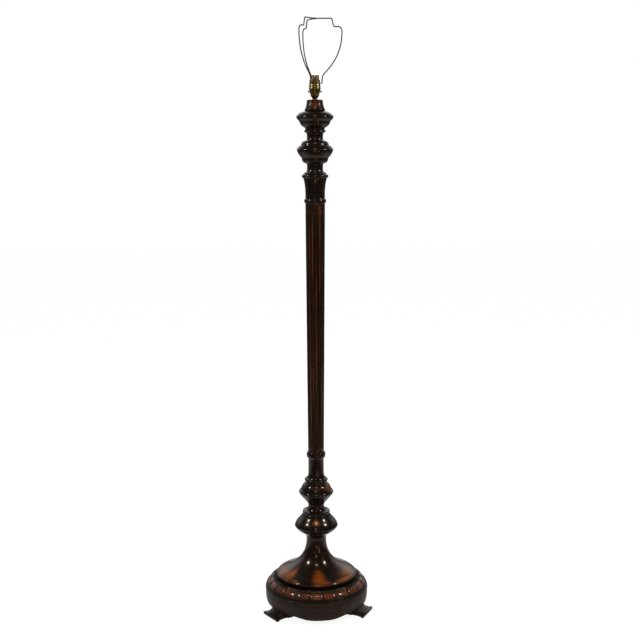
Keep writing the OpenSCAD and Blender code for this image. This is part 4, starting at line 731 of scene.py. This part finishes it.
# ---- Upper baluster and upper knop ----
# A cup and a bulb with a stepped crown, then a bowl and a second bulb above it. Close to the lamp's
# heat the varnish has darkened, and it shows dull red where it is thin.
upper_wood = varnished_wood("upper_wood", "z", (0.0045, 0.0035, 0.003), (0.012, 0.006, 0.005),
                            (0.06, 0.014, 0.008), 0.6, (0.18, 0.34))
upper_z, upper_h, bulb_h = collar_z + collar_h, 97.0, 85.0
bulb_z = upper_z + upper_h
upper_line = ([(30.2 - 6 * math.sin(math.radians(t)), 12.2 * (1 - math.cos(math.radians(t))))
               for t in range(0, 91, 10)]
              + [(24.2, 18), (24.8, 25)]
              + [(26 + 14 * math.sin(math.radians(t)), 27 + 15 * (1 - math.cos(math.radians(t))))
                 for t in range(0, 91, 9)]
              + [(41, 44)] + curve((42, 45.2), (48, 51.9), (54.1, 60), (54.9, 68), 14)
              + curve((54.9, 68), (54.5, 71.6), (50, 76.2), (46.3, 80), 12)[1:] + [(44, 80.2), (41.8, 80.6)]
              + [(41.8 - 11.6 * (1 - math.cos(math.radians(t))), 81 + 13.5 * math.sin(math.radians(t)))
                 for t in range(9, 91, 9)]
              + [(27.2, 96.2), (26.2, upper_h)])
turned("upper_baluster_turning", upper_line, upper_z, upper_h, upper_wood, replace="upper_baluster")
bulb_line = ([(26.2 - 2 * math.sin(math.radians(t)), 8.8 * (1 - math.cos(math.radians(t))))
              for t in range(0, 91, 15)]
             + [(24.6, 16.5), (26.6, 21.6)] + bead(28.7, 32.7, 22, 29.4, 10) + [(29.4, 30.4), (29.3, 33)]
             + curve((29.6, 35), (36.3, 39.2), (43.9, 43.6), (46.4, 53), 14) + [(47.2, 55)]
             + curve((47.4, 55.5), (50.4, 59.6), (55.8, 62.4), (55.8, 68), 12)
             + curve((55.8, 68), (55.8, 73.1), (45.8, 82), (28.1, bulb_h), 18)[1:])
turned("upper_knop_turning", bulb_line, bulb_z, bulb_h, upper_wood, replace="upper_knop")

# ---- Cap ----
# A small bell with a rolled foot closes the column. Its face is the reddest of all the pieces.
cap_wood = varnished_wood("cap_wood", "z", (0.006, 0.0035, 0.003), (0.02, 0.007, 0.004),
                          (0.17, 0.045, 0.01), 0.47, (0.26, 0.42), "stain_and_shade_marks", 0.15)
cap_z, cap_h = bulb_z + bulb_h, 33.0
cap_line = ([(28.1, 0)] + bead(29.1, 31.1, 0.5, 6, 10)
            + curve((29.8, 6.3), (27, 12), (24.4, 19.5), (24, 30), 16)
            + [(24 - 2.6 * (1 - math.cos(math.radians(t))), 30 + 3 * math.sin(math.radians(t)))
               for t in range(15, 91, 15)])
cap = turned("cap_turning", cap_line, cap_z, cap_h, cap_wood, socket=False, replace="cap")
rub_through(cap, [(264, 1578, 30, 14, 0.34), (90, 1576, 40, 12, 0.3)])

# ---- Tie tube, washer and nuts ----
# A threaded steel tube runs through the whole column. A washer and nut draw it up under the deck,
# and a round brass nut clamps the cap at the top.
for part in ("tie_tube", "base_washer", "base_nut"):
    finish_node(part, steel)
nut_z, nut_t, nut_bore = cap_z + cap_h, 3.5, 5.06
holder_z = nut_z + nut_t
turned("round_nut", [(6.4, 0), (7, 0.5), (7, 2.9), (6.2, nut_t)], nut_z, nut_t, brass, 64, False, False,
       replace="seat_nut", bore=nut_bore)

# ---- Lampholder ----
# A pressed brass bayonet holder: an entry cup with its fibre cable grip, a bulging shell with a rolled
# joint, the barrel with its two hooked slots, and a ribbed ring that screws down on the shade carrier.
cup_line = ([(7.4, 0), (8, 0.5), (8.4, 1.6)]
            + curve((8.6, 1.9), (10.4, 4.4), (12.4, 7.4), (13.3, 11.2), 12) + bead(13.0, 13.6, 11.4, 13, 6)
            + [(12.5, 13.02), (12.5, 15.9), (11.7, 15.9), (11.5, 8), (7.4, 5.5)])
turned("entry_cup", cup_line, holder_z, 5.5, brass, 96, False, False, replace="holder_cup",
       bore=nut_bore)


def hollow(name, outline, foot_z, material, sides=96, shape=None, sharp=32, body="lamp"):
    """Turns a closed ring of sheet metal from its whole section."""
    rings = []
    for i in range(sides):
        turn = 2 * math.pi * i / sides
        c, s = math.cos(turn), math.sin(turn)
        section = [(shape(turn, r, z), z) for r, z in outline] if shape else outline
        rings.append([(r * c, r * s, z + foot_z) for r, z in section])
    points, faces = loft(rings, closed=True)
    return new_piece(name, points, faces, material, body, sharp)


shell_line = ([(13.6, 13.1)] + curve((13.6, 13.1), (14.6, 17.5), (17.0, 22), (17.3, 28.4), 12)[1:]
              + bead(17.2, 17.7, 28.8, 32, 8)
              + [(17.1, 32.4), (16.95, 36), (16.9, 41.6), (16.6, 42.5), (15.9, 43), (12.56, 43),
                 (12.56, 42), (15.4, 42), (16.0, 41), (16.2, 32),
                 (16.4, 28.4), (15.8, 22), (13.7, 17.5), (12.75, 13.1)])
shell = hollow("holder_shell_pressing", shell_line, holder_z, brass, 120)
# The push bar's hole runs across the shell, a hair wider than the bar
bar_hole_r, bar_z, bar_reach = 1.66, 20.0, 25
hole = [(bar_hole_r * math.cos(2 * math.pi * k / 32), bar_hole_r * math.sin(2 * math.pi * k / 32))
        for k in range(32)]
bore_out(shell, [[(x, y, z + holder_z + bar_z) for y, z in hole] for x in (-bar_reach, bar_reach)])
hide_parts("holder_shell")


def ribbed(turn, r, z):
    """Fine upright ribs on the shade ring's grip."""
    return r - 0.22 * (0.5 - 0.5 * math.cos(turn * 48)) if r > 15.3 and 47.0 < z < 53.8 else r


ring_line = ([(12.8, 45.9), (15.0, 45.9), (15.8, 46.6), (15.8, 46.95), (15.8, 47.6)]
             + [(15.8, 48.6 + k * 1.1) for k in range(5)]
             + [(15.8, 53.85), (15.8, 54.2), (15.0, 54.9), (12.8, 54.9)])
shade_ring = hollow("ribbed_shade_ring", ring_line, holder_z, brass, 384, ribbed, 50)
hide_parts("shade_ring")
for part in ("barrel", "plunger_left", "plunger_right", "terminals", "terminal_screws"):
    finish_node(part, brass)


def moulding(name, colour, pale, rough, bump=0.08):
    """Moulded resin or pressed fibre, faintly mottled."""
    m = bpy.data.materials.new(name)
    m.use_nodes = True
    t = m.node_tree
    t.nodes.clear()
    place = node(t, "TexCoord").outputs["Object"]
    mottle = node(t, "TexNoise", Vector=place, Scale=320.0, Detail=5.0, Roughness=0.65).outputs[0]
    worn = node(t, "MapRange", Value=mottle, From_Min=0.4, From_Max=0.75).outputs[0]
    base = node(t, "Mix", {"data_type": "RGBA"}, Factor=worn, i6=(*colour, 1), i7=(*pale, 1)).outputs[2]
    r = node(t, "MapRange", Value=worn, To_Min=rough[0], To_Max=rough[1]).outputs[0]
    b = node(t, "Bump", Strength=bump, Distance=0.0001, Height=mottle)
    skin = node(t, "BsdfPrincipled", Base_Color=base, Roughness=r, Normal=b.outputs[0])
    node(t, "OutputMaterial", Surface=skin.outputs[0])
    return m


fibre = moulding("pressed_fibre", (0.13, 0.055, 0.028), (0.2, 0.1, 0.055), (0.5, 0.75))
resin = moulding("black_resin", (0.012, 0.011, 0.011), (0.03, 0.028, 0.026), (0.2, 0.4))
for part in ("cord_grip", "insulator", "switch_bridge"):
    finish_node(part, fibre)
finish_node("push_bar", resin)


def tube(name, path, r, material, body, sides=14, sharp=60):
    """Round wire along a path of points, square to it all the way."""
    rings, up = [], None
    for i, p in enumerate(path):
        way = (Vector(path[min(i + 1, len(path) - 1)]) - Vector(path[max(i - 1, 0)])).normalized()
        side = way.cross(up).normalized() if up else way.orthogonal().normalized()
        up = side.cross(way).normalized()
        rings.append([tuple(Vector(p) + r * (math.cos(2 * math.pi * k / sides) * side
                                             + math.sin(2 * math.pi * k / sides) * up))
                      for k in range(sides)])
    points, faces = loft(rings)
    return new_piece(name, points, faces, material, body, sharp)


# The contact plungers stand on coil springs of bright wire, eight turns each
plunger_half, spring_turns, spring_r, spring_seat, spring_l = 5.3, 8, 1.7, 33.35, 8.3
spring_steps = spring_turns * 20
for spring_name, x, joint in (("spring_left", -plunger_half, "plunger_left_press"),
                              ("spring_right", plunger_half, "plunger_right_press")):
    coil = []
    for i in range(spring_steps + 1):
        t = 2 * math.pi * i / 20
        coil.append((x + spring_r * math.cos(t), spring_r * math.sin(t),
                     holder_z + spring_seat + spring_l * i / spring_steps))
    spring = tube(spring_name + "_coil", coil, 0.3, steel, "lamp", 8)
    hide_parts(spring_name)
    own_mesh(spring)

# ---- Push bar knobs ----
# Two small black resin knobs, pressed on the ends of the bar that switches the lamp from either side.
knob_in = 17.96
for knob_name, side in (("push_knob_left", -1), ("push_knob_right", 1)):
    profile = ([(0.01, 1.85), (bar_hole_r, 1.85), (bar_hole_r, 0.05), (1.9, 0), (2.6, 0)]
               + bow((2.4, 0.6), (0.6, 0.6), -90, 0, 4) + [(3.0, 1.5)]
               + bow((2.0, 1.5), (1.0, 1.0), 10, 90, 6) + [(1.2, 2.5), (0.01, 2.42)])
    rings = []
    for i in range(48):
        t = 2 * math.pi * i / 48
        rings.append([(side * (knob_in + along), r * math.cos(t), holder_z + bar_z + r * math.sin(t))
                      for r, along in profile])
    points, faces = loft(rings, closed=True)
    knob = new_piece(knob_name + "_moulding", points, faces, resin, "push_bar")
    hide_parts(knob_name)

# ---- Shade carrier ----
# A flat ring with three lugs turns loosely on the barrel. Each lug carries a bent wire arm that bows
# out, makes a level shoulder for the shade, and runs in to a soldered boss at the crown.
dark_wire = worn_metal("dark_wire", (0.09, 0.075, 0.066), (0.03, 0.024, 0.02), (0.4, 0.62), 90.0, 0.1, 0.7)
finish_node("carrier_ring", dark_wire)
wire_r, carrier_turn, lug_r, lug_z, boss_r = 1.8, -9.5, 17.4, 44.95, 4.6
# Each step of an arm: straight length, bend radius and turn, read from the lug outwards
arm_bends = [(2.1, 2.5, 90), (7, 30, -47), (0, 155, 47), (6, 12, 90), (8.4, 4.8, -77), (17, 4.8, 77)]
for arm_name, turn in (("carrier_arm_right", 0), ("carrier_arm_back", 120), ("carrier_arm_front", 240)):
    r, z, a = lug_r, holder_z + lug_z, 0.0
    flat = [(r, z)]
    for straight, bend_r, bend in arm_bends:
        for k in range(1, 4 if straight else 1):
            flat.append((r + straight * k / 3 * math.cos(a), z + straight * k / 3 * math.sin(a)))
        r, z = flat[-1]
        way = math.copysign(1, bend)
        cr, cz = r - way * bend_r * math.sin(a), z + way * bend_r * math.cos(a)
        n = 16 if bend_r > 20 else 10
        for k in range(1, n + 1):
            b = a + math.radians(bend) * k / n
            flat.append((cr + way * bend_r * math.sin(b), cz - way * bend_r * math.cos(b)))
        r, z = flat[-1]
        a += math.radians(bend)
    stop = boss_r - 1.4
    flat += [(r + (stop - r) * k / 6, z) for k in range(1, 7)]
    crown_z = z
    c, s = math.cos(math.radians(carrier_turn + turn)), math.sin(math.radians(carrier_turn + turn))
    arm = tube(arm_name + "_wire", [(p * c, p * s, q) for p, q in flat], wire_r, dark_wire, "shade_carrier",
               16)
    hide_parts(arm_name)
boss_line = ([(0.01, -2.25), (2.4, -2.3)] + bow((3.6, -1.3), (1.0, 1.0), -90, 0, 5)
             + bow((3.6, 1.3), (1.0, 1.0), 0, 90, 5) + [(2.4, 2.3), (0.01, 2.25)])
boss = hollow("crown_boss", boss_line, crown_z, dark_wire, 48, body="shade_carrier")
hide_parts("carrier_boss")
